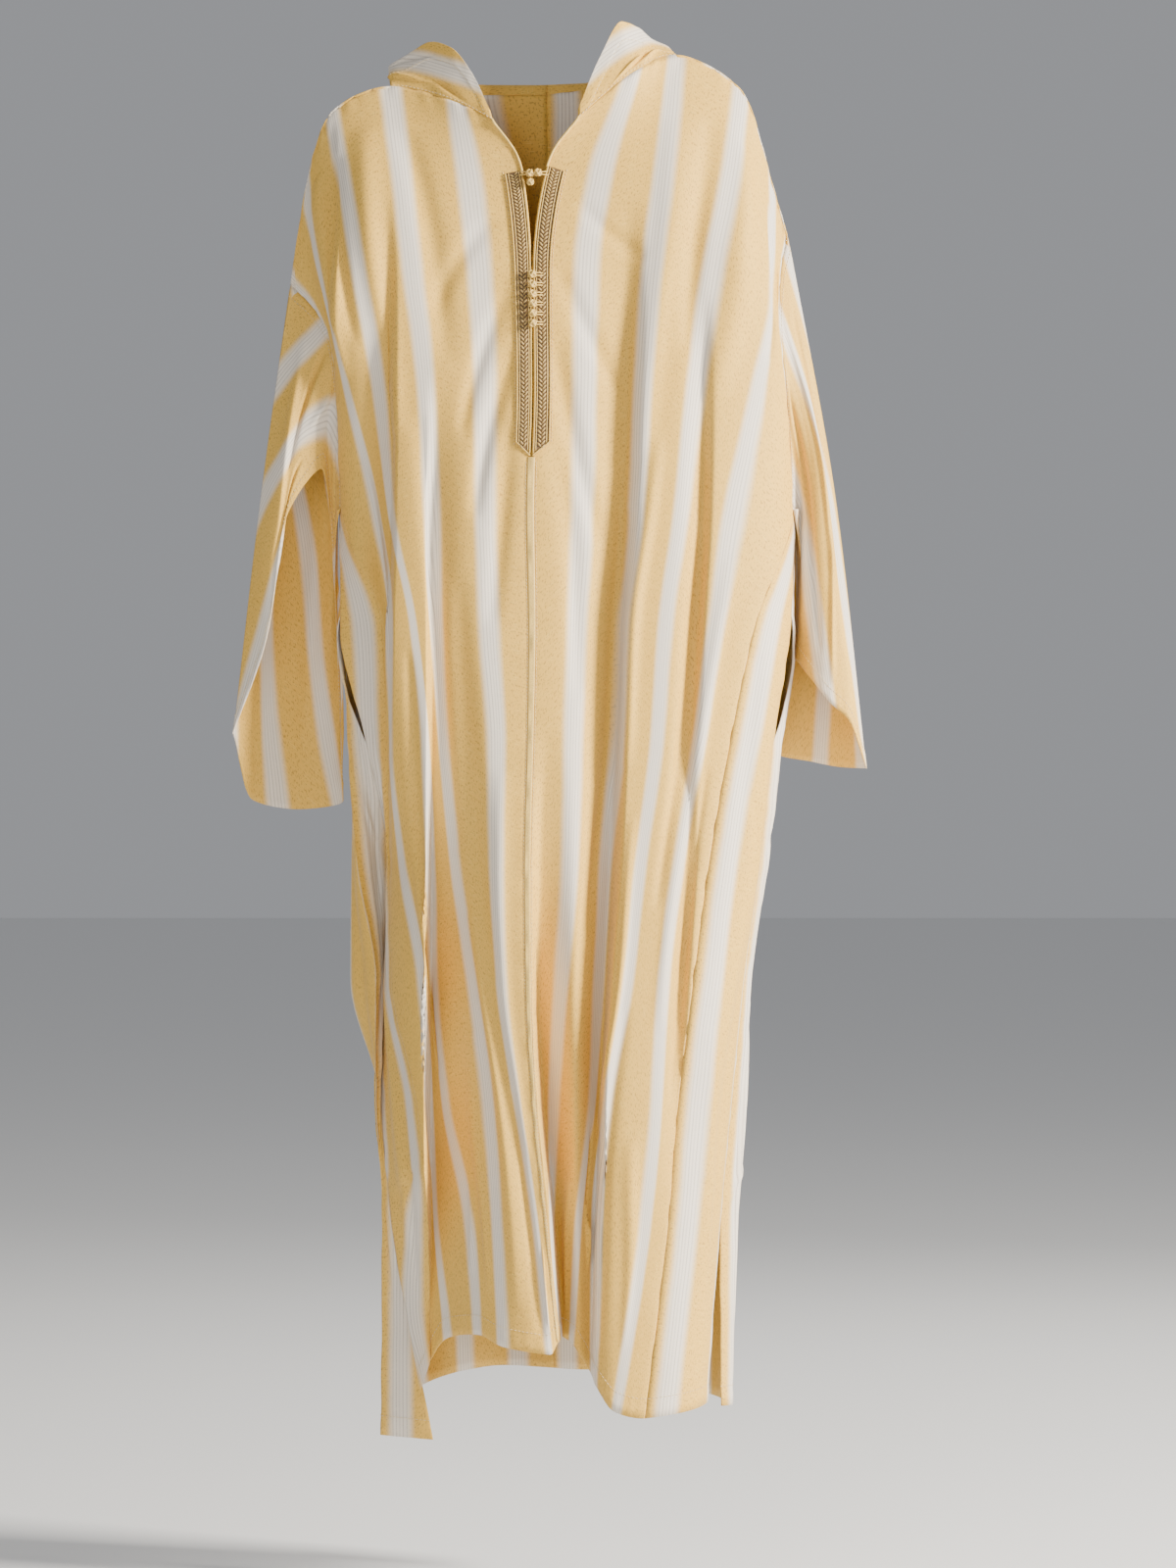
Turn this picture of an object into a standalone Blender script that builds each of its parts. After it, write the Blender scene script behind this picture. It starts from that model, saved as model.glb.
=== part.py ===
"""A long hooded robe in striped cloth, hung up and hollow, built as the thin cloth walls that a maker sews.

Every wall is worked out on a grid. Lines run down the cloth at a known distance from the centre seam,
sections run across it, and the tables below hold where each line crosses each section. Smooth curves fill in
the rest, folds are added as sharp-edged hollows, and each grid gets the thickness of the cloth.
Right and left are the wearer's. Sizes in the tables are in millimetres: across, down and forward.
"""

import bpy
import numpy as np

MM = 0.001
# The origin is in the middle of the shoulder line. Across and down are measured from a frame round the robe.
ORIGIN_ACROSS = 550.0
ORIGIN_DOWN = 100.0

WALL = 1.2
SEAM_GAP = 0.3
# At a sharp fold an edge is drawn in further, but by no more than half a gap divided by this.
LEAST_SHARE = 0.3
# How much the inner face's points are held to the mean way in, and how far in they may be, in walls.
MITRE_HOLD = 0.1
MITRE_MOST = 2.0
# Points of two edges are one place of a seam when they are nearer than this.
SAME_PLACE = 0.4
LIFT = 0.6
SHOULDER_RISE = 170.0

# Distance of each line from the centre seam, in centimetres of cloth. The last is the side seam.
LINES = (0.0, 5.0, 12.5, 20.0, 27.5, 33.5, 40.0)
GORE_SEAM = 33.5
SIDE_SEAM = 40.0
NECK_END = 12.5
# Sections are numbered from the top edge, 0, to the hem, 11. The underarm is on section 4, and the side seam
# is open from section 10 down.
UNDERARM = 4.0
SIDE_SLIT = 10.0
HEM = 11.0
LEVELS = (400.0, 520.0, 640.0, 760.0, 880.0, 1000.0, 1120.0, 1240.0)

# One row for each section of the front's right half, across at each of the lines.
FRONT_RIGHT = (
    (503, 467, 398, 338, 312, 296, 295),
    (533, 479, 411, 352, 319, 322, 320),
    (543, 490, 422, 368, 334, 337, 335),
    (544, 496, 436, 388, 355, 343, 341),
    (541, 496, 442, 399, 385, 348, 346),
    (543, 500, 446, 424, 400, 391, 347),
    (541, 508, 452, 437, 399, 396, 374),
    (538, 508, 465, 441, 411, 397, 394),
    (539, 513, 484, 443, 433, 399, 391),
    (545, 529, 500, 454, 440, 426, 389),
    (557, 547, 508, 480, 444, 438, 398),
    (569, 562, 514, 489, 458, 440, 430),
)
# How far down the same lines meet the top edge, the two sections under it, and the hem.
FRONT_RIGHT_TOP = (
    (126, 108, 88, 114, 188, 290, 290),
    (176, 184, 180, 190, 242, 318, 318),
    (278, 280, 280, 282, 312, 350, 350),
)
FRONT_RIGHT_HEM = (1362, 1373, 1366, 1356, 1362, 1386, 1415)

FRONT_LEFT = (
    (590, 646, 690, 757, 788, 804, 805),
    (559, 613, 676, 744, 789, 797, 799),
    (544, 599, 665, 725, 789, 795, 797),
    (545, 597, 656, 708, 773, 802, 804),
    (542, 596, 649, 695, 748, 809, 812),
    (544, 590, 636, 678, 729, 769, 807),
    (542, 586, 631, 669, 712, 743, 789),
    (539, 583, 618, 653, 691, 722, 776),
    (540, 573, 611, 640, 676, 706, 759),
    (546, 565, 605, 619, 670, 691, 747),
    (558, 563, 591, 607, 659, 681, 735),
    (570, 573, 583, 606, 628, 657, 722),
)
FRONT_LEFT_TOP = (
    (124, 77, 56, 92, 185, 240, 240),
    (171, 185, 185, 188, 245, 275, 275),
    (278, 280, 280, 281, 310, 320, 320),
)
FRONT_LEFT_HEM = (1362, 1361, 1366, 1402, 1431, 1437, 1425)

# The back's lines are 0, 6, 12.5, 20, 27.5 and 33.5 cm from the centre back seam, and the side seam.
BACK_LINES = (0.0, 6.0, 12.5, 20.0, 27.5, 33.5, 40.0)
BACK_RIGHT = (
    (558, 470, 398, 338, 312, 296, 295),
    (558, 494, 414, 352, 319, 322, 320),
    (558, 498, 426, 368, 334, 337, 335),
    (558, 500, 440, 388, 350, 343, 341),
    (558, 503, 448, 395, 358, 345, 346),
    (558, 505, 452, 402, 366, 350, 350),
    (559, 505, 452, 395, 361, 354, 374),
    (560, 505, 447, 386, 357, 364, 394),
    (561, 505, 445, 385, 356, 384, 391),
    (562, 508, 455, 410, 386, 383, 389),
    (563, 512, 462, 418, 395, 389, 398),
    (565, 515, 470, 425, 398, 388, 442),
)
BACK_RIGHT_TOP = (
    (92, 93, 88, 114, 188, 290, 290),
    (185, 185, 180, 190, 242, 318, 318),
    (280, 280, 280, 282, 312, 350, 350),
)
BACK_RIGHT_HEM = (1405, 1405, 1408, 1425, 1455, 1465, 1468)
BACK_LEFT = (
    (558, 620, 690, 757, 788, 804, 805),
    (558, 621, 682, 748, 789, 797, 799),
    (558, 622, 684, 742, 787, 797, 797),
    (558, 620, 682, 740, 785, 803, 804),
    (558, 620, 682, 742, 790, 811, 812),
    (558, 620, 680, 740, 788, 808, 807),
    (559, 618, 674, 730, 775, 791, 789),
    (560, 616, 670, 722, 763, 777, 776),
    (561, 614, 664, 712, 750, 762, 759),
    (562, 612, 660, 706, 744, 757, 747),
    (563, 610, 656, 700, 736, 750, 735),
    (565, 610, 655, 700, 733, 743, 736),
)
BACK_LEFT_TOP = (
    (92, 84, 56, 92, 185, 240, 240),
    (185, 185, 185, 188, 245, 275, 275),
    (280, 280, 280, 281, 310, 320, 320),
)
BACK_LEFT_HEM = (1405, 1408, 1415, 1425, 1432, 1434, 1433)

# How far forward each line starts at the top edge, from the centre to the side: the neck seam stands open.
FRONT_TOP_FORWARD = (42, 30, 3, 0, 0, 0, 0)
BACK_TOP_FORWARD = (-46, -38, -3, 0, 0, 0, 0)
# One row for each section of the back: down, then how far forward the side seam, the gore seam and the turn
# of the cloth lie on the right and on the left, and how far the middle stands out behind.
BACK_SECTIONS = (
    # down side_r seam_r turn_r side_l seam_l turn_l middle
    (60, 8, -8, -20, 8, -8, -20, 40),
    (180, 8, -8, -22, 8, -8, -22, 44),
    (290, 8, -12, -26, 8, -12, -28, 50),
    (400, 9, -17, -34, 9, -17, -36, 56),
    (520, -1, -14, -42, -1, -14, -42, 62),
    (640, 12, -12, -50, 12, -16, -50, 70),
    (760, 7, -8, -45, 11, -22, -58, 78),
    (880, -31, -8, -40, 7, -28, -64, 86),
    (1000, -26, 0, -36, 5, -32, -70, 94),
    (1120, -13, -2, -46, 5, -34, -74, 100),
    (1240, 1, -6, -56, 7, -34, -76, 104),
    (1260, 1, -6, -56, 7, -34, -76, 104),
    (1440, 10, -8, -60, 14, -26, -72, 108),
)
# Share of the middle's depth at the centre seam and at 6, 12.5 and 20 cm from it.
BACK_ROUND = (1.0, 1.0, 0.97, 0.86)

# One row for each section of the front: down, where its right and left edges are across, how far forward its
# side seams lie on the right and on the left, and how far its middle stands out.
FRONT_SECTIONS = (
    # down edge_r edge_l side_r side_l middle
    (60, 290, 810, 8, 8, 40),
    (180, 290, 810, 8, 8, 50),
    (290, 296, 808, 8, 8, 58),
    (400, 340, 806, 9, 9, 66),
    (520, 345, 812, -1, -1, 74),
    (640, 347, 807, 12, 12, 80),
    (760, 374, 789, 7, 11, 84),
    (880, 393, 776, -31, 7, 88),
    (1000, 390, 759, -26, 5, 92),
    (1120, 388, 748, -13, 5, 96),
    (1240, 397, 736, 1, 7, 98),
    (1260, 399, 735, 1, 7, 98),
    (1440, 420, 722, 45, 45, 100),
)

# The pocket slit in each side seam gapes between these levels, by this much.
POCKET_SLIT = (628.0, 757.0)
POCKET_GAPE = 12.0
POCKET_FULLNESS = 0.7

# The largest folds of the front. Each is a hollow with one sharp edge. First comes which side of the edge is
# low (right 1, left -1, seen from the front), then for each level: down, edge, depth, soft width, edge width.
FOLDS = {
    "shoulder_right": (
        -1,
        ((120, 342, 0, 60, 6), (180, 342, 16, 60, 6), (300, 342, 14, 60, 6), (380, 342, 0, 60, 6)),
    ),
    "shoulder_left": (
        1,
        ((120, 784, 0, 60, 6), (180, 785, 14, 60, 6), (300, 791, 12, 60, 6), (380, 800, 0, 60, 6)),
    ),
    "side_ridge_outer": (
        -1,
        (
            (200, 398, 0, 26, 12),
            (280, 403, 6, 28, 9),
            (400, 404, 18, 28, 7),
            (520, 403, 26, 30, 6),
            (640, 401, 32, 30, 7),
            (760, 399, 34, 30, 8),
            (880, 398, 16, 30, 6),
            (960, 397, 0, 30, 6),
        ),
    ),
    "recess_right": (
        1,
        (
            (380, 443, 0, 22, 14),
            (520, 441, 10, 24, 8),
            (640, 440, 12, 26, 7),
            (760, 440, 18, 32, 6),
            (880, 439, 32, 40, 6),
            (1000, 438, 52, 50, 6),
            (1120, 438, 62, 56, 6),
            (1240, 438, 66, 58, 6),
            (1440, 436, 66, 60, 6),
        ),
    ),
    "recess_left_inner": (
        1,
        (
            (740, 552, 0, 40, 20),
            (880, 547, 12, 40, 10),
            (1000, 546, 34, 36, 6),
            (1120, 552, 56, 34, 6),
            (1240, 564, 66, 30, 6),
            (1440, 576, 70, 26, 6),
        ),
    ),
    "recess_left_outer": (
        -1,
        (
            (200, 650, 0, 45, 26),
            (400, 648, 18, 40, 22),
            (640, 636, 30, 34, 20),
            (880, 628, 38, 30, 14),
            (1000, 621, 44, 28, 9),
            (1120, 615, 52, 26, 7),
            (1240, 609, 60, 24, 6),
            (1440, 605, 66, 24, 6),
        ),
    ),
    "valley_left": (
        -1,
        (
            (300, 722, 0, 16, 14),
            (400, 722, 9, 16, 14),
            (520, 720, 14, 16, 13),
            (640, 713, 13, 16, 12),
            (880, 704, 10, 15, 12),
            (1120, 694, 8, 14, 12),
            (1240, 690, 0, 14, 12),
        ),
    ),
}

# The back's own soft waves: their height at the hem, the levels between which they grow, their length and
# start in centimetres of cloth, and the distance from the centre seam over which they die out.
BACK_WAVE = 16.0
BACK_WAVE_LEVELS = (330.0, 1400.0)
BACK_WAVE_LENGTH = 17.0
BACK_WAVE_OFFSET = 2.2
BACK_WAVE_END = (14.0, 24.0)
# How far a gore bulges, as a share of its width. On the right it is folded flat into the side.
GORE_CROWN = {-1: 0.0, 1: 0.2}
GORE_CROWN_ROWS = 2.0
UNDERARM_EASE = 1.2

# How square the front's depth is across: 2 is an ellipse, and more is flatter in the middle.
FRONT_SQUARENESS = 4
FRONT_TABLES = {
    -1: (FRONT_RIGHT, FRONT_RIGHT_TOP, FRONT_RIGHT_HEM),
    1: (FRONT_LEFT, FRONT_LEFT_TOP, FRONT_LEFT_HEM),
}
BACK_TABLES = {-1: (BACK_RIGHT, BACK_RIGHT_TOP, BACK_RIGHT_HEM), 1: (BACK_LEFT, BACK_LEFT_TOP, BACK_LEFT_HEM)}

# One row for each line round a sleeve, from the crest by the front and the underarm to the back: across, down
# and forward, half way down the sleeve and at the cuff.
SLEEVE_RIGHT = (
    # half across, down, forward   cuff across, down, forward
    ((266, 508, 2), (238, 748, 0)),
    ((289, 478, 20), (274, 648, 17)),
    ((310, 440, 21), (293, 530, 22)),
    ((333, 436, 12), (328, 479, 10)),
    ((341, 590, -22), (342, 640, -36)),
    ((344, 620, -38), (348, 818, -48)),
    ((322, 590, -42), (302, 826, -47)),
    ((288, 560, -28), (256, 816, -28)),
)
SLEEVE_LEFT = (
    ((853, 512, 2), (884, 784, 0)),
    ((846, 500, 18), (866, 736, 14)),
    ((834, 490, 22), (846, 717, 18)),
    ((820, 520, 12), (825, 690, 10)),
    ((816, 590, -20), (807, 668, -26)),
    ((812, 600, -38), (796, 769, -42)),
    ((826, 570, -44), (830, 777, -44)),
    ((844, 535, -28), (862, 783, -26)),
)

# Where the table's lines meet the ring of the armhole: its own rows, then the underarm, then the rows again.
SLEEVE_KNOTS = (0.0, 1.0, 2.0, 3.0, 4.5, 6.0, 7.0, 8.0, 9.0)
SLEEVE_RINGS = 8

# One row for each station round half the hood, from its front end to the middle behind: where it stands
# highest (across, down, forward), how far it hangs behind, and how far its pouch stands off the back.
HOOD_LINES = (0.0, 2.5, 5.0, 7.5, 10.0, 12.5, 16.0, 19.0, 25.0)
HOOD_RIGHT = (
    (501, 118, 40, 2, 1),
    (482, 78, 30, 12, 4),
    (460, 50, 16, 34, 10),
    (440, 43, 2, 36, 36),
    (418, 53, -10, 80, 74),
    (396, 66, -22, 124, 84),
    (428, 72, -42, 170, 70),
    (476, 80, -50, 210, 68),
    (558, 82, -54, 262, 66),
)
HOOD_LEFT = (
    (590, 116, 40, 2, 1),
    (612, 62, 30, 12, 4),
    (634, 24, 16, 34, 10),
    (650, 28, 2, 36, 36),
    (664, 38, -10, 80, 74),
    (684, 48, -22, 124, 84),
    (662, 62, -42, 170, 70),
    (622, 76, -50, 210, 68),
    (558, 82, -54, 262, 66),
)
# How far the pouch is drawn to its point, as a share of the way to the middle, and how much the hood bulges
# up between the neck seam and its highest line.
HOOD_POINT = 0.45
# Behind the top of the shoulder the hood starts to fold over, over this much of the neck edge.
HOOD_TURN = 3.25
HOOD_BULGE = 3.0
HOOD_ROWS = 15

# The braid bands cover the panel's first lines beside the front opening, from one section to a pointed end,
# in sections too, and the piping covers the seam below them.
BAND_LINES = 3
BAND_THICK = 1.5
BAND_TOP = 1.04
BAND_END = 3.56
BAND_POINT = 0.12
PIPING_LINES = 2
PIPING_THICK = 1.2
PIPING_TOP = 3.6
PIPING_SHORT = 0.01
# Knotted cord buttons: six down the opening, and a bar with two knots and one under it that close the neck.
KNOT_COUNT = 6
KNOT_FIRST_DOWN = 285.0
KNOT_PITCH = 10.0
KNOT_PROFILE = ((-4.2, 1.9), (-2.9, 3.8), (0.0, 4.6), (2.9, 3.8), (4.2, 1.9))
CLOSURE_DOWN = 182.0
CLOSURE_PROFILE = (
    (-14.5, 1.2),
    (-9.0, 1.6),
    (-7.6, 2.4),
    (-5.8, 4.0),
    (-3.7, 4.4),
    (-1.6, 3.8),
    (0.0, 2.6),
    (1.6, 3.8),
    (3.7, 4.4),
    (5.8, 4.0),
    (7.6, 2.4),
    (9.0, 1.6),
    (14.5, 1.2),
)
CLOSURE_KNOT_DROP = 8.9
CLOSURE_KNOT_SCALE = 0.9
KNOT_SIDES = 8
SHARP_ANGLE = 0.9

ROW_STEP = 0.5
# The lines of cloth that the solids' points are on. The front's start with the edges of piping and braid.
SHARED_LINES = (12.5, 15.0, 17.5, 20.0, 21.5, 23.0, 24.5, 26.0, 27.5, 30.5, 33.5)
PANEL_LINES = (0.0, 0.35, 1.7, 3.4, 5.0, 7.5, 10.0) + SHARED_LINES
BACK_PANEL_LINES = (0.0, 3.0, 6.0, 9.25) + SHARED_LINES
GORE_LINES = (33.5, 35.5, 37.75, 40.0)
BODY_ROWS = np.arange(0, HEM + ROW_STEP / 2, ROW_STEP)


def bend(knots, values, at):
    """The smooth curve through the values at the knots, read at other places, with no overshoot."""
    knots = np.asarray(knots, float)
    values = np.asarray(values, float)
    at = np.clip(np.asarray(at, float), knots[0], knots[-1])
    shape = (-1,) + (1,) * (values.ndim - 1)
    gaps = np.diff(knots).reshape(shape)
    slopes = np.diff(values, axis=0) / gaps
    before, after = slopes[:-1], slopes[1:]
    same_way = before * after > 0
    product = np.where(same_way, before * after, 0.0)
    total = np.where(same_way, before * gaps[:-1] + after * gaps[1:], 1.0)
    tangents = np.empty_like(values)
    tangents[1:-1] = product * (gaps[:-1] + gaps[1:]) / total
    tangents[0] = slopes[0]
    tangents[-1] = slopes[-1]
    low = np.clip(np.searchsorted(knots, at, side="right") - 1, 0, len(knots) - 2)
    gap = gaps[low]
    part = ((at - knots[low]).reshape(shape)) / gap
    return (
        (2 * part**3 - 3 * part**2 + 1) * values[low]
        + (part**3 - 2 * part**2 + part) * gap * tangents[low]
        + (3 * part**2 - 2 * part**3) * values[low + 1]
        + (part**3 - part**2) * gap * tangents[low + 1]
    )


def ease(value):
    """0 below 0, 1 above 1, and a smooth rise between."""
    value = np.clip(value, 0.0, 1.0)
    return value * value * (3 - 2 * value)


def ease_between(levels, value):
    """The same rise, from the first of two levels to the second."""
    return ease((value - levels[0]) / (levels[1] - levels[0]))


def section(sections, down):
    """The columns of a table of sections, after the first, at these levels."""
    table = np.array(sections, float)
    return bend(table[:, 0], table[:, 1:], down.ravel()).T.reshape(-1, *down.shape)


def lines_and_rows(across, tops, hem, lines, cloth, rows):
    """Across and down of the crossing points of lines (cloth, in cm) and rows (section numbers)."""
    down = [list(top) for top in tops] + [[level] * len(lines) for level in LEVELS] + [list(hem)]
    table = np.stack([np.array(across, float), np.array(down, float)], -1)
    by_row = bend(np.arange(len(table)), table, rows)
    return bend(lines, by_row.swapaxes(0, 1), cloth).swapaxes(0, 1)


def sink(across, down):
    """Depth of the front's folds: the largest hollow at each place, blended smoothly with the others."""
    total = np.zeros_like(across)
    for low_side, levels in FOLDS.values():
        table = np.array(levels, float)
        edge, depth, soft, sharp = bend(table[:, 0], table[:, 1:], down.ravel()).T.reshape(4, *down.shape)
        beyond = low_side * (across - edge)
        total += (depth * ease(0.5 + beyond / sharp) * np.exp(-((np.maximum(beyond, 0) / soft) ** 2))) ** 3
    return np.cbrt(total)


def rise(down, top):
    """0 at the top edge of the cloth and 1 a shoulder's depth below it."""
    return 1 - (1 - np.clip((down - top) / SHOULDER_RISE, 0, 1)) ** 2


def to_world(across, down, forward):
    """Metres, +Z up and -Y to the front."""
    return np.stack([(across - ORIGIN_ACROSS) * MM, -forward * MM, (ORIGIN_DOWN - down) * MM], -1)


def front_panel(side, cloth, rows):
    """Points of the front's right (-1) or left (1) half at these lines and rows."""
    cloth = np.asarray(cloth, float)
    tables = FRONT_TABLES[side]
    place = lines_and_rows(*tables, LINES, cloth, rows)
    across, down = place[..., 0], place[..., 1]
    right, left, edge_right, edge_left, full = section(FRONT_SECTIONS, down)
    share = np.clip((across - right) / (left - right), 0, 1)
    edge = edge_right if side < 0 else edge_left
    stand = edge + (full - edge) * np.sqrt(1 - np.abs(2 * share - 1) ** FRONT_SQUARENESS)
    top = bend(LINES, tables[1][0], cloth)[None, :]
    top_forward = bend(LINES, FRONT_TOP_FORWARD, cloth)[None, :]
    stand = np.where(cloth[None, :] >= SIDE_SEAM, edge, stand - sink(across, down))
    forward = top_forward + (stand - top_forward) * rise(down, top)
    return to_world(across, down, forward)


def back_top(side, cloth):
    """The back's top edge at these lines, as its own tables give it."""
    place = lines_and_rows(*BACK_TABLES[side], BACK_LINES, cloth, (0.0,))
    return to_world(place[..., 0], place[..., 1], bend(BACK_LINES, BACK_TOP_FORWARD, cloth)[None, :])


def back_panel(side, cloth, rows):
    """Points of the back's right (-1) or left (1) half at these lines and rows."""
    cloth = np.asarray(cloth, float)
    tables = BACK_TABLES[side]
    place = lines_and_rows(*tables, BACK_LINES, cloth, rows)
    across, down = place[..., 0], place[..., 1]
    columns = section(BACK_SECTIONS, down)
    edge, seam, turn = columns[:3] if side < 0 else columns[3:6]
    stations = np.array([-columns[6] * share for share in BACK_ROUND] + [turn, seam, edge])
    stand = np.stack([bend(BACK_LINES, stations[..., k], (c,))[0] for k, c in enumerate(cloth)], -1)
    wave = BACK_WAVE * ease_between(BACK_WAVE_LEVELS, down)
    wave = wave * (1 - ease_between(BACK_WAVE_END, cloth[None, :]))
    stand = stand + wave * np.sin(2 * np.pi * (side * cloth[None, :] + BACK_WAVE_OFFSET) / BACK_WAVE_LENGTH)
    top = bend(BACK_LINES, tables[1][0], cloth)[None, :]
    top_forward = bend(BACK_LINES, BACK_TOP_FORWARD, cloth)[None, :]
    forward = top_forward + (stand - top_forward) * rise(down, top)
    points = to_world(across, down, forward)
    shoulder = front_panel(side, cloth, (0.0,)) - back_top(side, cloth)
    sewn = (cloth >= NECK_END)[None, :, None]
    fade = 1 - ease(np.asarray(rows, float))[:, None, None]
    return points + np.where(sewn, shoulder, 0.0) * fade


def gore(panel, side, cloth, rows):
    """A side gore: from the panel's edge at the gore seam to the side seam, gently crowned."""
    ends = panel(side, (GORE_SEAM, SIDE_SEAM), rows)
    sewn = np.asarray(rows) <= SIDE_SLIT
    ends[sewn, 1] = front_panel(side, (SIDE_SEAM,), rows[sewn])[:, 0]
    seam, edge = ends[:, :1], ends[:, 1:]
    rows = np.asarray(rows, float)
    share = ((np.asarray(cloth) - GORE_SEAM) / (SIDE_SEAM - GORE_SEAM))[None, :, None]
    chord = edge - seam
    outward = np.stack([chord[..., 1], -chord[..., 0], np.zeros_like(chord[..., 0])], -1)
    outward *= side if panel is front_panel else -side
    crown = GORE_CROWN[side] * ease((rows - UNDERARM) / GORE_CROWN_ROWS)[:, None, None]
    points = seam + share * chord + 4 * share * (1 - share) * crown * outward
    if panel is back_panel:
        start, end = POCKET_SLIT
        down = np.clip(ORIGIN_DOWN - points[..., 2] / MM, start, end)
        gape = POCKET_GAPE * MM * np.sin(np.pi * (down - start) / (end - start)) ** POCKET_FULLNESS
        points[..., 0] += side * gape * 0.5 * share[..., 0]
        points[..., 1] += gape * share[..., 0] ** 2
    return points


def sleeve(side, around, along):
    """A sleeve, rings from the armhole to the cuff. around counts the lines of its table from the crest."""
    rows = BODY_ROWS[BODY_ROWS <= UNDERARM]
    front = front_panel(side, (GORE_SEAM,), rows)[:, 0]
    back = back_panel(side, (GORE_SEAM,), rows)[::-1, 0]
    underarm = front_panel(side, (SIDE_SEAM,), (UNDERARM,))[0]
    ease_out = np.array([side * UNDERARM_EASE * MM, 0, 0])
    front[-1] += ease_out
    back[0] += ease_out
    underarm = underarm + ease_out
    armhole = np.concatenate([front, underarm, back])
    table = np.array(SLEEVE_RIGHT if side < 0 else SLEEVE_LEFT, float)
    table = np.concatenate([table, table[:1]])
    stations = np.concatenate([rows, [UNDERARM + 0.5], UNDERARM + 1 + rows])
    rings = bend(SLEEVE_KNOTS, table, stations)
    rings = to_world(rings[..., 0], rings[..., 1], rings[..., 2])
    track = np.concatenate([armhole[:, None], rings], 1)
    track = bend((0.0, 0.5, 1.0), track.swapaxes(0, 1), along)
    return bend(stations, track.swapaxes(0, 1), around).swapaxes(0, 1)


def neck_edge(side):
    """The neck seam of one side, from the front end to the centre back, and its hood stations."""
    front_cloth = [c for c in PANEL_LINES if c <= NECK_END]
    back_cloth = [c for c in BACK_PANEL_LINES if c < NECK_END][::-1]
    front = front_panel(side, front_cloth, (0.0,))[0]
    back = back_panel(side, back_cloth, (0.0,))[0]
    stations = front_cloth + [2 * NECK_END - c for c in back_cloth]
    return np.concatenate([front, back]), np.array(stations)


def hood(side, rise_steps):
    """Half the hood: up from the neck seam to its highest line, and behind the shoulders down into a pouch."""
    seam, stations = neck_edge(side)
    table = np.array(HOOD_RIGHT if side < 0 else HOOD_LEFT, float)
    stand = bend(HOOD_LINES, table, stations)
    peak = to_world(stand[:, 0], stand[:, 1], stand[:, 2])
    hang, off = stand[:, 3] * MM, stand[:, 4] * MM
    to_middle = peak[-1, 0] - peak[:, 0]

    def behind(out, drop, inward):
        """A point of the pouch: off the back by a share of its depth, down by a share of its hang."""
        point = peak.copy()
        point[:, 0] += to_middle * inward * hang / hang[-1]
        point[:, 1] += off * out
        point[:, 2] -= hang * drop
        return point

    track = np.stack(
        [
            seam,
            (seam + peak) / 2 + np.array([0, 0, HOOD_BULGE * MM]),
            peak,
            behind(0.3, 0.06, 0.02),
            behind(0.42, 0.5, HOOD_POINT * 0.5),
            behind(0.62, 0.97, HOOD_POINT),
            behind(0.95, 0.9, HOOD_POINT * 0.95),
            behind(1.1, 0.5, HOOD_POINT * 0.5),
            behind(0.95, 0.12, 0.04),
        ]
    )
    # In front of the shoulders the hood only stands up, and its rim is its highest line.
    standing = seam + (peak - seam) * np.linspace(0, 1, len(track))[:, None, None]
    over = np.clip((stations - NECK_END) / HOOD_TURN, 0, 1)[None, :, None]
    track = standing * (1 - over) + track * over
    return bend(np.arange(len(track)), track, np.linspace(0, len(track) - 1, rise_steps))


def directions(points):
    """Unit normals of a grid, from the differences to the neighbours along and across."""
    along = np.gradient(points, axis=0)
    across = np.gradient(points, axis=1)
    normal = np.cross(along, across)
    return normal / np.maximum(np.linalg.norm(normal, axis=-1, keepdims=True), 1e-12)


class Cloth:
    """A grid of points on the outer face of one piece of cloth, with the way out at each point."""

    def __init__(self, name, points, flip, ring=False):
        self.name = name
        self.points = points
        self.ring = ring
        padded = np.concatenate([points[:, -2:-1], points, points[:, 1:2]], 1) if ring else points
        self.out = directions(padded) * flip
        if ring:
            self.out = self.out[:, 1:-1]

    def rim(self):
        """Mask of the points on the free and sewn edges."""
        mask = np.zeros(self.points.shape[:2], bool)
        mask[[0, -1]] = True
        if not self.ring:
            mask[:, [0, -1]] = True
        return mask


def share_directions(cloths):
    """Where edges of two pieces meet, both get the same way out, so that the seam's gap stays even."""
    where = [np.argwhere(cloth.rim()) for cloth in cloths]
    points = np.concatenate([cloth.points[tuple(spot.T)] for cloth, spot in zip(cloths, where)])
    out = np.concatenate([cloth.out[tuple(spot.T)] for cloth, spot in zip(cloths, where)])
    near = np.linalg.norm(points[:, None] - points[None], axis=-1) < SAME_PLACE * MM
    mean = near.astype(float) @ out
    mean /= np.maximum(np.linalg.norm(mean, axis=1, keepdims=True), 1e-12)
    start = 0
    for cloth, spot in zip(cloths, where):
        cloth.out[tuple(spot.T)] = mean[start : start + len(spot)]
        start += len(spot)


def pulled(edge, next_line, out):
    """An edge drawn in along its cloth until it is half a seam gap from the plane where two pieces meet."""
    step = next_line - edge
    step /= np.linalg.norm(step, axis=-1, keepdims=True)
    plane = np.cross(out, np.gradient(edge, axis=0))
    plane /= np.linalg.norm(plane, axis=-1, keepdims=True)
    share = np.maximum(np.abs((step * plane).sum(-1, keepdims=True)), LEAST_SHARE)
    return edge + step * (SEAM_GAP / 2 * MM / share)


def drawn_in(cloth):
    """The cloth's grid with its edges drawn in, so that a seam gap is left between two pieces."""
    points = cloth.points.copy()
    for first, second in ((0, 1), (-1, -2)):
        points[first] = pulled(points[first], points[second], cloth.out[first])
    if not cloth.ring:
        for first, second in ((0, 1), (-1, -2)):
            points[:, first] = pulled(points[:, first], points[:, second], cloth.out[:, first])
    return points


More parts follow.
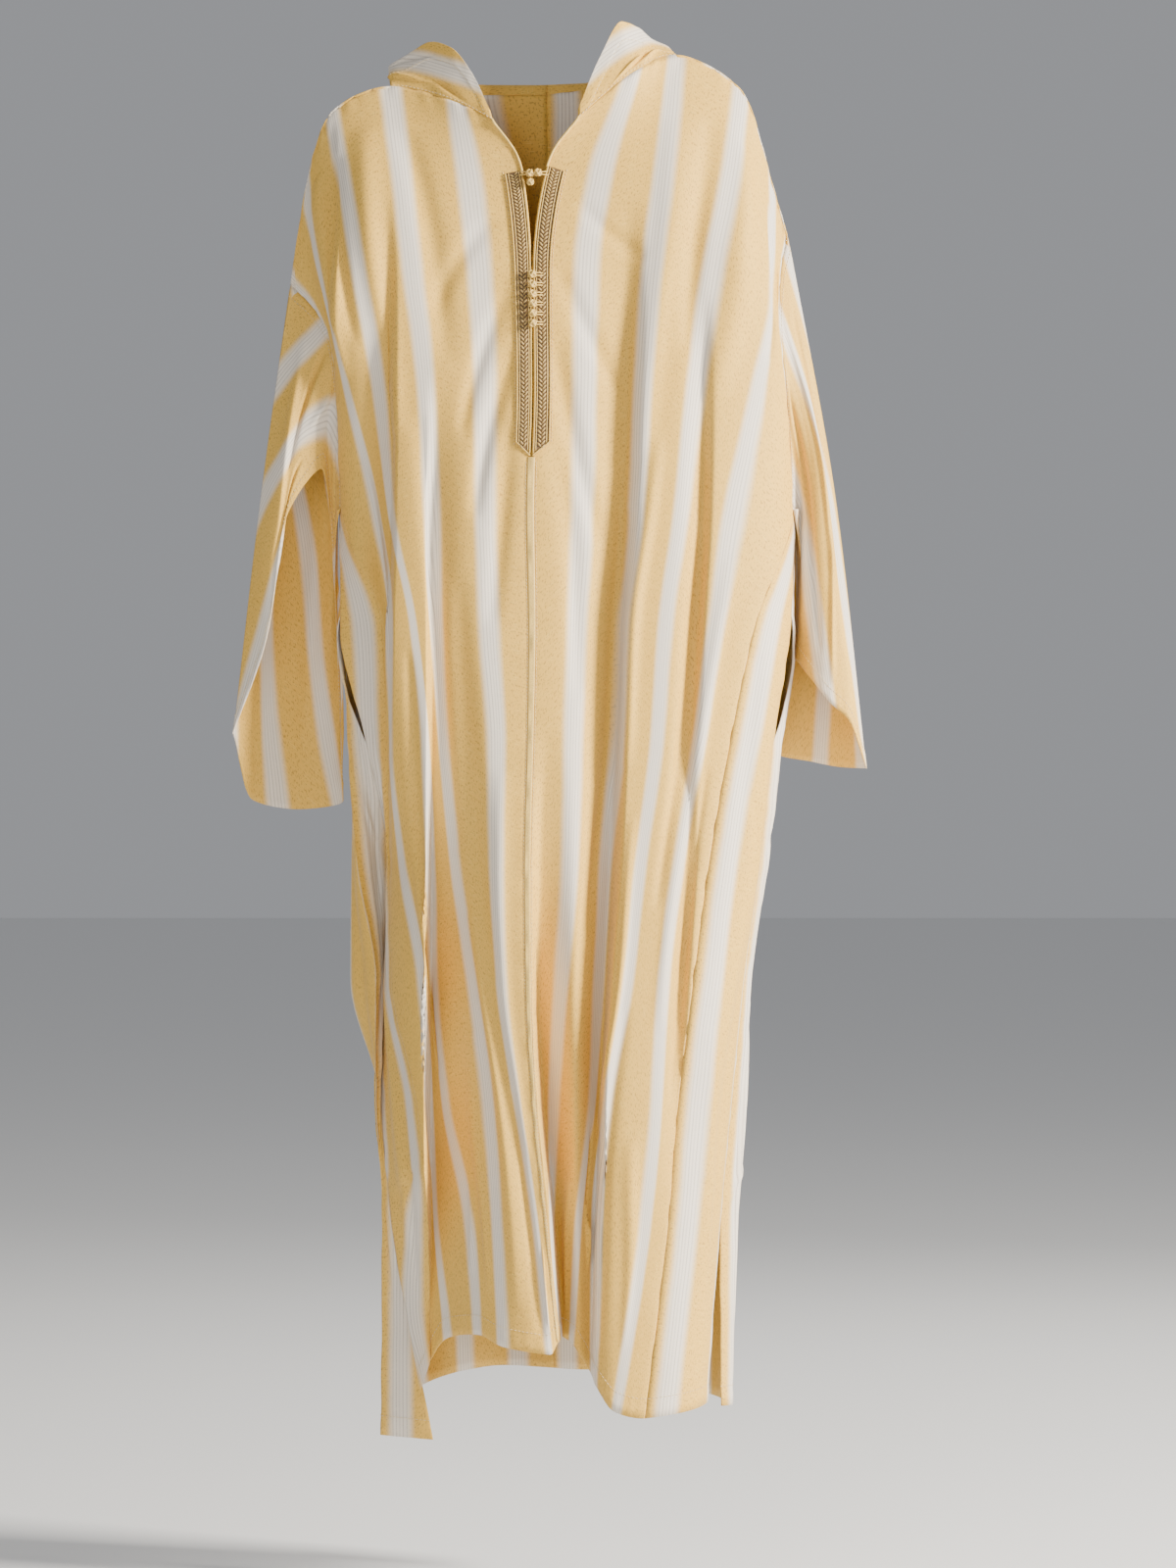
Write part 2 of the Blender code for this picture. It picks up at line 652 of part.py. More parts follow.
def material(name, colour, roughness):
    """A plain cloth or cord finish."""
    made = bpy.data.materials.new(name)
    made.use_nodes = True
    shader = made.node_tree.nodes["Principled BSDF"]
    shader.inputs["Base Color"].default_value = (*colour, 1.0)
    shader.inputs["Roughness"].default_value = roughness
    shader.inputs["Metallic"].default_value = 0.0
    return made


def add_object(name, points, faces, finish):
    """A mesh object from points and faces, with its faces pointing out."""
    mesh = bpy.data.meshes.new(name)
    mesh.from_pydata([tuple(point) for point in points], [], [tuple(face) for face in faces])
    corners = points[np.array([face[:3] for face in faces])]
    volume = np.einsum("ij,ij->i", corners[:, 0], np.cross(corners[:, 1], corners[:, 2])).sum()
    if volume < 0:
        mesh.flip_normals()
    mesh.validate()
    mesh.shade_smooth()
    mesh.set_sharp_from_angle(angle=SHARP_ANGLE)
    made = bpy.data.objects.new(name, mesh)
    bpy.context.scene.collection.objects.link(made)
    mesh.materials.append(material(name + "_finish", *finish))
    return made


def triangles(quads):
    """Each four-cornered face as two triangles."""
    return np.concatenate([quads[:, [0, 1, 2]], quads[:, [0, 2, 3]]])


def solid_between(name, outer, inner, ring, finish):
    """A closed solid between two grids of the same size."""
    if ring:
        outer, inner = outer[:, :-1], inner[:, :-1]
    rows, columns = outer.shape[:2]
    index = np.arange(rows * columns).reshape(rows, columns)
    if ring:
        index = np.concatenate([index, index[:, :1]], 1)
    far = rows * columns
    face = np.stack([index[:-1, :-1], index[:-1, 1:], index[1:, 1:], index[1:, :-1]], -1).reshape(-1, 4)
    # Both faces are cut along the same diagonal, so that the wall keeps its thickness where it twists.
    quads = [face, face[:, [0, 3, 2, 1]] + far]
    first, last = index[0], index[-1]
    quads.append(np.stack([first[1:], first[:-1], first[:-1] + far, first[1:] + far], -1))
    quads.append(np.stack([last[:-1], last[1:], last[1:] + far, last[:-1] + far], -1))
    if not ring:
        start, end = index[:, 0], index[:, -1]
        quads.append(np.stack([start[:-1], start[1:], start[1:] + far, start[:-1] + far], -1))
        quads.append(np.stack([end[1:], end[:-1], end[:-1] + far, end[1:] + far], -1))
    points = np.concatenate([outer.reshape(-1, 3), inner.reshape(-1, 3)])
    return add_object(name, points, triangles(np.concatenate(quads)), finish)


def ways_in(cloth, outer):
    """The way from the outer face to the inner at each point: a wall's thickness in from all the faces that meet
    there, as nearly as one point can be. On sewn edges it is straight in, so that two pieces agree there."""
    points, out = outer, cloth.out
    if cloth.ring:
        points, out = (np.concatenate([grid[:, -2:-1], grid, grid[:, 1:2]], 1) for grid in (points, out))
    first, after = slice(None, -1), slice(1, None)
    corners = ((first, first), (first, after), (after, after), (after, first))
    system = np.zeros((*out.shape, 3)) + MITRE_HOLD * np.eye(3)
    target = MITRE_HOLD * out
    for names in ((0, 1, 2), (0, 2, 3)):
        a, b, c = (points[corners[k]] for k in names)
        normal = np.cross(b - a, c - a)
        normal /= np.maximum(np.linalg.norm(normal, axis=-1, keepdims=True), 1e-12)
        normal *= np.sign((normal * out[corners[0]]).sum())
        for k in names:
            system[corners[k]] += normal[..., :, None] * normal[..., None, :]
            target[corners[k]] += normal
    ways = np.linalg.solve(system, target[..., None])[..., 0]
    length = np.linalg.norm(ways, axis=-1, keepdims=True)
    ways *= np.minimum(1, MITRE_MOST / length)
    if cloth.ring:
        ways = ways[:, 1:-1]
    sewn = cloth.rim()
    sewn[-1, slice(None) if cloth.ring else slice(1, -1)] = False
    ways[sewn] = cloth.out[sewn]
    return ways * WALL * MM


def cloth_wall(cloth, finish):
    """The solid of one piece of cloth, from its outer face inwards."""
    outer = drawn_in(cloth)
    return solid_between(cloth.name, outer, outer - ways_in(cloth, outer), cloth.ring, finish)


def lie_on(cloth, columns, rows):
    """Points of a panel's own lines at these rows (one list of rows a line), and the ways out there."""
    points = np.stack([bend_straight(cloth.points[:, k], rows[:, k]) for k in range(columns)], 1)
    out = np.stack([bend_straight(cloth.out[:, k], rows[:, k]) for k in range(columns)], 1)
    return points, out


def bend_straight(values, rows):
    """The values of a panel's line read at rows between its points, along its straight facets."""
    place = rows / ROW_STEP
    low = np.clip(np.floor(place).astype(int), 0, len(values) - 2)
    part = (place - low)[:, None]
    return values[low] * (1 - part) + values[low + 1] * part


def strip_on_cloth(name, points, out, thick, finish):
    """A strip that lies on a panel: the panel's own points, moved out."""
    solid_between(name, points + out * (LIFT + thick) * MM, points + out * LIFT * MM, False, finish)


def part_edge(points):
    """The first line of a strip moved off the middle by a seam gap, so that two strips can meet there."""
    step = points[:, 1] - points[:, 0]
    points[:, 0] += step / np.linalg.norm(step, axis=-1, keepdims=True) * SEAM_GAP * MM


def braid_band(cloth, word, finish):
    """One braid band, from the neck edge down beside the opening to its pointed end."""
    end = BAND_END - BAND_POINT * np.linspace(0, 1, BAND_LINES)
    inner = BODY_ROWS[(BODY_ROWS > BAND_TOP) & (BODY_ROWS < end.min())]
    rows = np.concatenate([[np.full(BAND_LINES, BAND_TOP)], np.repeat(inner[:, None], BAND_LINES, 1), [end]])
    points, out = lie_on(cloth, BAND_LINES, rows)
    part_edge(points)
    strip_on_cloth("braid_band_" + word, points, out, BAND_THICK, finish)


def piping(right, left, finish):
    """The raised strip that covers the centre front seam, from under the bands to the hem."""
    rows = np.concatenate([[PIPING_TOP], BODY_ROWS[BODY_ROWS > PIPING_TOP]])
    rows[-1] -= PIPING_SHORT
    rows = np.repeat(rows[:, None], PIPING_LINES, 1)
    right_points, right_out = lie_on(right, PIPING_LINES, rows)
    left_points, left_out = lie_on(left, PIPING_LINES, rows)
    points = np.concatenate([left_points[:, ::-1], right_points[:, 1:]], 1)
    out = np.concatenate([left_out[:, ::-1], right_out[:, 1:]], 1)
    strip_on_cloth("centre_piping", points, out, PIPING_THICK, finish)


def opening_face(down):
    """The middle of the front opening at this level, on the outer face of the bands."""
    halves = [front_panel(side, (0.0,), (row_at(side, down),))[0, 0] for side in (-1, 1)]
    middle = (halves[0] + halves[1]) / 2
    middle[1] = min(halves[0][1], halves[1][1]) - (LIFT + BAND_THICK + SEAM_GAP) * MM
    return middle


def knots(finish):
    """The column of knots down the opening, and the closure at the neck."""
    stations = np.array(KNOT_PROFILE)
    radius = stations[:, 1].max()
    for number in range(KNOT_COUNT):
        centre = opening_face(KNOT_FIRST_DOWN + KNOT_PITCH * number) - np.array([0, radius * MM, 0])
        turned("knot_%d" % (number + 1), stations, 2, centre, finish)
    bar = np.array(CLOSURE_PROFILE)
    centre = opening_face(CLOSURE_DOWN) - np.array([0, bar[0, 1] * MM, 0])
    turned("neck_closure", bar, 0, centre, finish)
    hung = centre + np.array([bar[4, 0], 0, -CLOSURE_KNOT_DROP]) * MM
    turned("neck_closure_knot", stations * CLOSURE_KNOT_SCALE, 2, hung, finish)


def turned(name, profile, axis, centre, finish):
    """A round solid from a profile of stations and radii along an axis (0 across, 2 up), with closed ends."""
    stations, radii = profile.T
    angle = np.linspace(0, 2 * np.pi, KNOT_SIDES, endpoint=False)
    ring = np.stack([np.cos(angle), np.sin(angle)], -1)
    points = np.zeros((len(radii), KNOT_SIDES, 3))
    others = [k for k in range(3) if k != axis]
    points[..., others] = radii[:, None, None] * ring[None]
    points[..., axis] = stations[:, None]
    points = np.concatenate([points.reshape(-1, 3), np.zeros((2, 3))])
    points[-2, axis], points[-1, axis] = stations[0], stations[-1]
    index = np.arange(len(radii) * KNOT_SIDES).reshape(len(radii), KNOT_SIDES)
    index = np.concatenate([index, index[:, :1]], 1)
    quads = np.stack([index[:-1, :-1], index[:-1, 1:], index[1:, 1:], index[1:, :-1]], -1).reshape(-1, 4)
    low, high = len(points) - 2, len(points) - 1
    caps = [(index[0, k + 1], index[0, k], low) for k in range(KNOT_SIDES)]
    caps += [(index[-1, k], index[-1, k + 1], high) for k in range(KNOT_SIDES)]
    faces = np.concatenate([triangles(quads), np.array(caps)])
    return add_object(name, points * MM + centre, faces, finish)


def row_at(side, down):
    """The section number at which the centre line reaches this far down."""
    rows = np.linspace(0, HEM, 1101)
    reached = ORIGIN_DOWN - front_panel(side, (0.0,), rows)[:, 0, 2] / MM
    return float(np.interp(down, reached, rows))


def make_cloths():
    """Every piece of cloth as a grid, right and left."""
    gore_rows = BODY_ROWS[BODY_ROWS >= UNDERARM]
    armhole_rows = BODY_ROWS[BODY_ROWS <= UNDERARM]
    cloths = []
    for side, word in ((-1, "right"), (1, "left")):
        cloths += [
            Cloth("front_" + word, front_panel(side, PANEL_LINES, BODY_ROWS), side),
            Cloth("back_" + word, back_panel(side, BACK_PANEL_LINES, BODY_ROWS), -side),
            Cloth("front_gore_" + word, gore(front_panel, side, GORE_LINES, gore_rows), side),
            Cloth("back_gore_" + word, gore(back_panel, side, GORE_LINES, gore_rows), -side),
        ]
        around = np.concatenate([armhole_rows, [UNDERARM + 0.5], UNDERARM + 1 + armhole_rows])
        rings = sleeve(side, around, np.linspace(0, 1, SLEEVE_RINGS))
        cloths.append(Cloth("sleeve_" + word, rings, -side, ring=True))
        cloths.append(Cloth("hood_" + word, hood(side, HOOD_ROWS), -side))
    return cloths


def main():
    for made in list(bpy.data.objects):
        bpy.data.objects.remove(made)
    cloth_finish = ((0.78, 0.56, 0.25), 0.7)
    braid_finish = ((0.55, 0.38, 0.18), 0.6)
    cloths = make_cloths()
    share_directions(cloths)
    for cloth in cloths:
        cloth_wall(cloth, cloth_finish)
    fronts = [cloth for cloth in cloths if cloth.name in ("front_right", "front_left")]
    braid_band(fronts[0], "right", braid_finish)
    braid_band(fronts[1], "left", braid_finish)
    piping(*fronts, cloth_finish)
    knots(braid_finish)


main()
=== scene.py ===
# %% [markdown]
# A hooded robe in striped cloth, hung up and hollow
#
# The robe is a djellaba: two front halves and two back halves, gores in the sides, wide sleeves, a
# hood and a short braided opening closed with knots. The pieces are rigid in the frame, so this
# script only makes their looks: thin cloth on the same form, with its creases, hems, seams, braid,
# cords and woven stripes. Right and left are the wearer's. Sizes in the tables are millimetres
# across, down and forward, and distances on the cloth are centimetres.

import bpy
import numpy as np
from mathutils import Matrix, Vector


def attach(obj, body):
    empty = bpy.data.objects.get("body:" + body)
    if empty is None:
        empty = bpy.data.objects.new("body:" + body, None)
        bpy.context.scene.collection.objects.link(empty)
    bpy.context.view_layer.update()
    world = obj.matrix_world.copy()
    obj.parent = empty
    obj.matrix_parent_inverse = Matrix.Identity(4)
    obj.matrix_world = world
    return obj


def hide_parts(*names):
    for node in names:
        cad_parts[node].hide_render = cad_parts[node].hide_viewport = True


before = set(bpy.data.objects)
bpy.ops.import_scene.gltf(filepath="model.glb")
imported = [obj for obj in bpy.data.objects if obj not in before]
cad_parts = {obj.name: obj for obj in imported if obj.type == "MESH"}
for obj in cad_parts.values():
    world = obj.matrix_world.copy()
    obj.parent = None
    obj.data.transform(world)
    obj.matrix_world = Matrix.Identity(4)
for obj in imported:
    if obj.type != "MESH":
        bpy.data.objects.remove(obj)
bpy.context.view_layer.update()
MM = 0.001
CM = 0.01

# %% [markdown]
# The form
#
# Lines run down the cloth at known distances from the centre seam, and sections run across it. The
# tables hold where each line crosses each section, and smooth curves fill in the rest. This could
# also be a simulation of cloth hung on pins, but tables keep every fold where the robe has it, and
# the same form is in the frame.

# %% Tables of the form
# The origin is in the middle of the shoulder line. Across and down are measured from a frame round
# the robe.
ORIGIN_ACROSS = 550.0
ORIGIN_DOWN = 100.0
# Depth over which the cloth rounds out from its top edge.
SHOULDER_RISE = 170.0

# Distance of each line from the centre seam, in centimetres of cloth. The last is the side seam.
LINES = (0.0, 5.0, 12.5, 20.0, 27.5, 33.5, 40.0)
GORE_SEAM = 33.5
SIDE_SEAM = 40.0
NECK_END = 12.5
# Sections are numbered from the top edge, 0, to the hem, 11. The underarm is on section 4, and the
# side seam is open from section 10 down.
UNDERARM = 4.0
SIDE_SLIT = 10.0
HEM = 11.0
LEVELS = (400.0, 520.0, 640.0, 760.0, 880.0, 1000.0, 1120.0, 1240.0)

# One row for each section of the front's right half, across at each of the lines.
FRONT_RIGHT = (
    (503, 467, 398, 338, 312, 296, 295),
    (533, 479, 411, 352, 319, 322, 320),
    (543, 490, 422, 368, 334, 337, 335),
    (544, 496, 436, 388, 355, 343, 341),
    (541, 496, 442, 399, 385, 348, 346),
    (543, 500, 446, 424, 400, 391, 347),
    (541, 508, 452, 437, 399, 396, 374),
    (538, 508, 465, 441, 411, 397, 394),
    (539, 513, 484, 443, 433, 399, 391),
    (545, 529, 500, 454, 440, 426, 389),
    (557, 547, 508, 480, 444, 438, 398),
    (569, 562, 514, 489, 458, 440, 430),
)
# How far down the same lines meet the top edge, the two sections under it, and the hem.
FRONT_RIGHT_TOP = (
    (126, 108, 88, 114, 188, 290, 290), (176, 184, 180, 190, 242, 318, 318),
    (278, 280, 280, 282, 312, 350, 350),
)
FRONT_RIGHT_HEM = (1362, 1373, 1366, 1356, 1362, 1386, 1415)

FRONT_LEFT = (
    (590, 646, 690, 757, 788, 804, 805),
    (559, 613, 676, 744, 789, 797, 799),
    (544, 599, 665, 725, 789, 795, 797),
    (545, 597, 656, 708, 773, 802, 804),
    (542, 596, 649, 695, 748, 809, 812),
    (544, 590, 636, 678, 729, 769, 807),
    (542, 586, 631, 669, 712, 743, 789),
    (539, 583, 618, 653, 691, 722, 776),
    (540, 573, 611, 640, 676, 706, 759),
    (546, 565, 605, 619, 670, 691, 747),
    (558, 563, 591, 607, 659, 681, 735),
    (570, 573, 583, 606, 628, 657, 722),
)
FRONT_LEFT_TOP = (
    (124, 77, 56, 92, 185, 240, 240), (171, 185, 185, 188, 245, 275, 275),
    (278, 280, 280, 281, 310, 320, 320),
)
FRONT_LEFT_HEM = (1362, 1361, 1366, 1402, 1431, 1437, 1425)

# The back's lines are 0, 6, 12.5, 20, 27.5 and 33.5 cm from the centre back seam, and the side
# seam.
BACK_LINES = (0.0, 6.0, 12.5, 20.0, 27.5, 33.5, 40.0)
BACK_RIGHT = (
    (558, 470, 398, 338, 312, 296, 295),
    (558, 494, 414, 352, 319, 322, 320),
    (558, 498, 426, 368, 334, 337, 335),
    (558, 500, 440, 388, 350, 343, 341),
    (558, 503, 448, 395, 358, 345, 346),
    (558, 505, 452, 402, 366, 350, 350),
    (559, 505, 452, 395, 361, 354, 374),
    (560, 505, 447, 386, 357, 364, 394),
    (561, 505, 445, 385, 356, 384, 391),
    (562, 508, 455, 410, 386, 383, 389),
    (563, 512, 462, 418, 395, 389, 398),
    (565, 515, 470, 425, 398, 388, 442),
)
BACK_RIGHT_TOP = (
    (92, 93, 88, 114, 188, 290, 290), (185, 185, 180, 190, 242, 318, 318),
    (280, 280, 280, 282, 312, 350, 350),
)
BACK_RIGHT_HEM = (1405, 1405, 1408, 1425, 1455, 1465, 1468)
BACK_LEFT = (
    (558, 620, 690, 757, 788, 804, 805),
    (558, 621, 682, 748, 789, 797, 799),
    (558, 622, 684, 742, 787, 797, 797),
    (558, 620, 682, 740, 785, 803, 804),
    (558, 620, 682, 742, 790, 811, 812),
    (558, 620, 680, 740, 788, 808, 807),
    (559, 618, 674, 730, 775, 791, 789),
    (560, 616, 670, 722, 763, 777, 776),
    (561, 614, 664, 712, 750, 762, 759),
    (562, 612, 660, 706, 744, 757, 747),
    (563, 610, 656, 700, 736, 750, 735),
    (565, 610, 655, 700, 733, 743, 736),
)
BACK_LEFT_TOP = (
    (92, 84, 56, 92, 185, 240, 240), (185, 185, 185, 188, 245, 275, 275),
    (280, 280, 280, 281, 310, 320, 320),
)
BACK_LEFT_HEM = (1405, 1408, 1415, 1425, 1432, 1434, 1433)

# How far forward each line starts at the top edge, from the centre to the side: the neck seam
# stands open.
FRONT_TOP_FORWARD = (42, 30, 3, 0, 0, 0, 0)
BACK_TOP_FORWARD = (-46, -38, -3, 0, 0, 0, 0)
# One row for each section of the back: down, then how far forward the side seam, the gore seam and
# the turn of the cloth lie on the right and on the left, and how far the middle stands out behind.
BACK_SECTIONS = (
    # down side_r seam_r turn_r side_l seam_l turn_l middle
    (60, 8, -8, -20, 8, -8, -20, 40),
    (180, 8, -8, -22, 8, -8, -22, 44),
    (290, 8, -12, -26, 8, -12, -28, 50),
    (400, 9, -17, -34, 9, -17, -36, 56),
    (520, -1, -14, -42, -1, -14, -42, 62),
    (640, 12, -12, -50, 12, -16, -50, 70),
    (760, 7, -8, -45, 11, -22, -58, 78),
    (880, -31, -8, -40, 7, -28, -64, 86),
    (1000, -26, 0, -36, 5, -32, -70, 94),
    (1120, -13, -2, -46, 5, -34, -74, 100),
    (1240, 1, -6, -56, 7, -34, -76, 104),
    (1260, 1, -6, -56, 7, -34, -76, 104),
    (1440, 10, -8, -60, 14, -26, -72, 108),
)
# Share of the middle's depth at the centre seam and at 6, 12.5 and 20 cm from it.
BACK_ROUND = (1.0, 1.0, 0.97, 0.86)

# One row for each section of the front: down, where its right and left edges are across, how far
# forward its side seams lie on the right and on the left, and how far its middle stands out.
FRONT_SECTIONS = (
    # down edge_r edge_l side_r side_l middle
    (60, 290, 810, 8, 8, 40),
    (180, 290, 810, 8, 8, 50),
    (290, 296, 808, 8, 8, 58),
    (400, 340, 806, 9, 9, 66),
    (520, 345, 812, -1, -1, 74),
    (640, 347, 807, 12, 12, 80),
    (760, 374, 789, 7, 11, 84),
    (880, 393, 776, -31, 7, 88),
    (1000, 390, 759, -26, 5, 92),
    (1120, 388, 748, -13, 5, 96),
    (1240, 397, 736, 1, 7, 98),
    (1260, 399, 735, 1, 7, 98),
    (1440, 420, 722, 45, 45, 100),
)

# The pocket slit in each side seam gapes between these levels, by this much.
POCKET_SLIT = (628.0, 757.0)
POCKET_GAPE = 12.0
POCKET_FULLNESS = 0.7

# The largest folds of the front. Each is a hollow with one sharp edge. First comes which side of
# the edge is low (right 1, left -1, seen from the front), then for each level: down, edge, depth,
# soft width, edge width.
FOLDS = {
    "shoulder_right": (-1, (
        (120, 342, 0, 60, 6), (180, 342, 16, 60, 6), (300, 342, 14, 60, 6), (380, 342, 0, 60, 6),
    )),
    "shoulder_left": (1, (
        (120, 784, 0, 60, 6), (180, 785, 14, 60, 6), (300, 791, 12, 60, 6), (380, 800, 0, 60, 6),
    )),
    "side_ridge_outer": (-1, (
        (200, 398, 0, 26, 12), (280, 403, 6, 28, 9), (400, 404, 18, 28, 7), (520, 403, 26, 30, 6),
        (640, 401, 32, 30, 7), (760, 399, 34, 30, 8), (880, 398, 16, 30, 6), (960, 397, 0, 30, 6),
    )),
    "recess_right": (1, (
        (380, 443, 0, 22, 14), (520, 441, 10, 24, 8), (640, 440, 12, 26, 7), (760, 440, 18, 32, 6),
        (880, 439, 32, 40, 6), (1000, 438, 52, 50, 6), (1120, 438, 62, 56, 6),
        (1240, 438, 66, 58, 6), (1440, 436, 66, 60, 6),
    )),
    "recess_left_inner": (1, (
        (740, 552, 0, 40, 20), (880, 547, 12, 40, 10), (1000, 546, 34, 36, 6),
        (1120, 552, 56, 34, 6), (1240, 564, 66, 30, 6), (1440, 576, 70, 26, 6),
    )),
    "recess_left_outer": (-1, (
        (200, 650, 0, 45, 26), (400, 648, 18, 40, 22), (640, 636, 30, 34, 20),
        (880, 628, 38, 30, 14), (1000, 621, 44, 28, 9), (1120, 615, 52, 26, 7),
        (1240, 609, 60, 24, 6), (1440, 605, 66, 24, 6),
    )),
    "valley_left": (-1, (
        (300, 722, 0, 16, 14), (400, 722, 9, 16, 14), (520, 720, 14, 16, 13),
        (640, 713, 13, 16, 12), (880, 704, 10, 15, 12), (1120, 694, 8, 14, 12),
        (1240, 690, 0, 14, 12),
    )),
}

# The back's own soft waves: their height at the hem, the levels between which they grow, their
# length and start in centimetres of cloth, and the distance from the centre seam over which they
# die out.
BACK_WAVE = 16.0
BACK_WAVE_LEVELS = (330.0, 1400.0)
BACK_WAVE_LENGTH = 17.0
BACK_WAVE_OFFSET = 2.2
BACK_WAVE_END = (14.0, 24.0)
# How far a gore bulges, as a share of its width. On the right it is folded flat into the side.
GORE_CROWN = {-1: 0.0, 1: 0.2}
GORE_CROWN_ROWS = 2.0
# How far a sleeve's underarm stands off the body.
UNDERARM_EASE = 1.2

# How square the front's depth is across: 2 is an ellipse, and more is flatter in the middle.
FRONT_SQUARENESS = 4
FRONT_TABLES = {
    -1: (FRONT_RIGHT, FRONT_RIGHT_TOP, FRONT_RIGHT_HEM),
    1: (FRONT_LEFT, FRONT_LEFT_TOP, FRONT_LEFT_HEM),
}
BACK_TABLES = {
    -1: (BACK_RIGHT, BACK_RIGHT_TOP, BACK_RIGHT_HEM),
    1: (BACK_LEFT, BACK_LEFT_TOP, BACK_LEFT_HEM),
}

# One row for each line round a sleeve, from the crest by the front and the underarm to the back:
# across, down and forward, half way down the sleeve and at the cuff.
SLEEVE_RIGHT = (
    # half across, down, forward   cuff across, down, forward
    ((266, 508, 2), (238, 748, 0)),
    ((289, 478, 20), (274, 648, 17)),
    ((310, 440, 21), (293, 530, 22)),
    ((333, 436, 12), (328, 479, 10)),
    ((341, 590, -22), (342, 640, -36)),
    ((344, 620, -38), (348, 818, -48)),
    ((322, 590, -42), (302, 826, -47)),
    ((288, 560, -28), (256, 816, -28)),
)
SLEEVE_LEFT = (
    ((853, 512, 2), (884, 784, 0)),
    ((846, 500, 18), (866, 736, 14)),
    ((834, 490, 22), (846, 717, 18)),
    ((820, 520, 12), (825, 690, 10)),
    ((816, 590, -20), (807, 668, -26)),
    ((812, 600, -38), (796, 769, -42)),
    ((826, 570, -44), (830, 777, -44)),
    ((844, 535, -28), (862, 783, -26)),
)

# Where the table's lines meet the ring of the armhole: its own rows, then the underarm, then the
# rows again.
SLEEVE_KNOTS = (0.0, 1.0, 2.0, 3.0, 4.5, 6.0, 7.0, 8.0, 9.0)

# One row for each station round half the hood, from its front end to the middle behind: where it
# stands highest (across, down, forward), how far it hangs behind, and how far its pouch stands off
# the back.
HOOD_LINES = (0.0, 2.5, 5.0, 7.5, 10.0, 12.5, 16.0, 19.0, 25.0)
HOOD_RIGHT = (
    (501, 118, 40, 2, 1),
    (482, 78, 30, 12, 4),
    (460, 50, 16, 34, 10),
    (440, 43, 2, 36, 36),
    (418, 53, -10, 80, 74),
    (396, 66, -22, 124, 84),
    (428, 72, -42, 170, 70),
    (476, 80, -50, 210, 68),
    (558, 82, -54, 262, 66),
)
HOOD_LEFT = (
    (590, 116, 40, 2, 1),
    (612, 62, 30, 12, 4),
    (634, 24, 16, 34, 10),
    (650, 28, 2, 36, 36),
    (664, 38, -10, 80, 74),
    (684, 48, -22, 124, 84),
    (662, 62, -42, 170, 70),
    (622, 76, -50, 210, 68),
    (558, 82, -54, 262, 66),
)
# How far the pouch is drawn to its point, as a share of the way to the middle.
HOOD_POINT = 0.45
# Behind the top of the shoulder the hood starts to fold over, over this much of the neck edge.
HOOD_TURN = 3.25
# How much the hood bulges up between the neck seam and its highest line.
HOOD_BULGE = 3.0

# The lines of cloth and the sections that the surfaces' points are on.
ROW_STEP = 0.05
BODY_ROWS = np.arange(0, HEM + ROW_STEP / 2, ROW_STEP)
PANEL_LINES, BACK_PANEL_LINES = (
    np.concatenate([np.linspace(0, NECK_END, near), np.linspace(NECK_END, GORE_SEAM, far)[1:]])
    for near, far in ((43, 71), (31, 51))
)
GORE_LINES = np.linspace(GORE_SEAM, SIDE_SEAM, 21)
print("front lines", len(PANEL_LINES), "back lines", len(BACK_PANEL_LINES))
print("sections", len(BODY_ROWS))

# %% [markdown]
# Curves and surfaces
#
# A monotone cubic goes through the table's values without overshoot, so a fold never bulges past
# its own rows. Each function gives a whole grid of points at once, rows by lines.

# %% Functions of the form
def bend(knots, values, at):
    """The smooth curve through the values at the knots, read at other places, with no overshoot."""
    knots = np.asarray(knots, float)
    values = np.asarray(values, float)
    at = np.clip(np.asarray(at, float), knots[0], knots[-1])
    shape = (-1,) + (1,) * (values.ndim - 1)
    gaps = np.diff(knots).reshape(shape)
    slopes = np.diff(values, axis=0) / gaps
    before, after = slopes[:-1], slopes[1:]
    same_way = before * after > 0
    product = np.where(same_way, before * after, 0.0)
    total = np.where(same_way, before * gaps[:-1] + after * gaps[1:], 1.0)
    tangents = np.empty_like(values)
    tangents[1:-1] = product * (gaps[:-1] + gaps[1:]) / total
    tangents[0] = slopes[0]
    tangents[-1] = slopes[-1]
    low = np.clip(np.searchsorted(knots, at, side="right") - 1, 0, len(knots) - 2)
    gap = gaps[low]
    part = ((at - knots[low]).reshape(shape)) / gap
    return (
        (2 * part**3 - 3 * part**2 + 1) * values[low]
        + (part**3 - 2 * part**2 + part) * gap * tangents[low]
        + (3 * part**2 - 2 * part**3) * values[low + 1]
        + (part**3 - part**2) * gap * tangents[low + 1]
    )


def ease(value):
    """0 below 0, 1 above 1, and a smooth rise between."""
    value = np.clip(value, 0.0, 1.0)
    return value * value * (3 - 2 * value)


def ease_between(levels, value):
    """The same rise, from the first of two levels to the second."""
    return ease((value - levels[0]) / (levels[1] - levels[0]))


def section(sections, down):
    """The columns of a table of sections, after the first, at these levels."""
    table = np.array(sections, float)
    return bend(table[:, 0], table[:, 1:], down.ravel()).T.reshape(-1, *down.shape)


def lines_and_rows(across, tops, hem, lines, cloth, rows):
    """Across and down of the crossing points of lines (cloth, in cm) and rows (section numbers)."""
    down = [list(top) for top in tops] + [[level] * len(lines) for level in LEVELS] + [list(hem)]
    table = np.stack([np.array(across, float), np.array(down, float)], -1)
    by_row = bend(np.arange(len(table)), table, rows)
    return bend(lines, by_row.swapaxes(0, 1), cloth).swapaxes(0, 1)


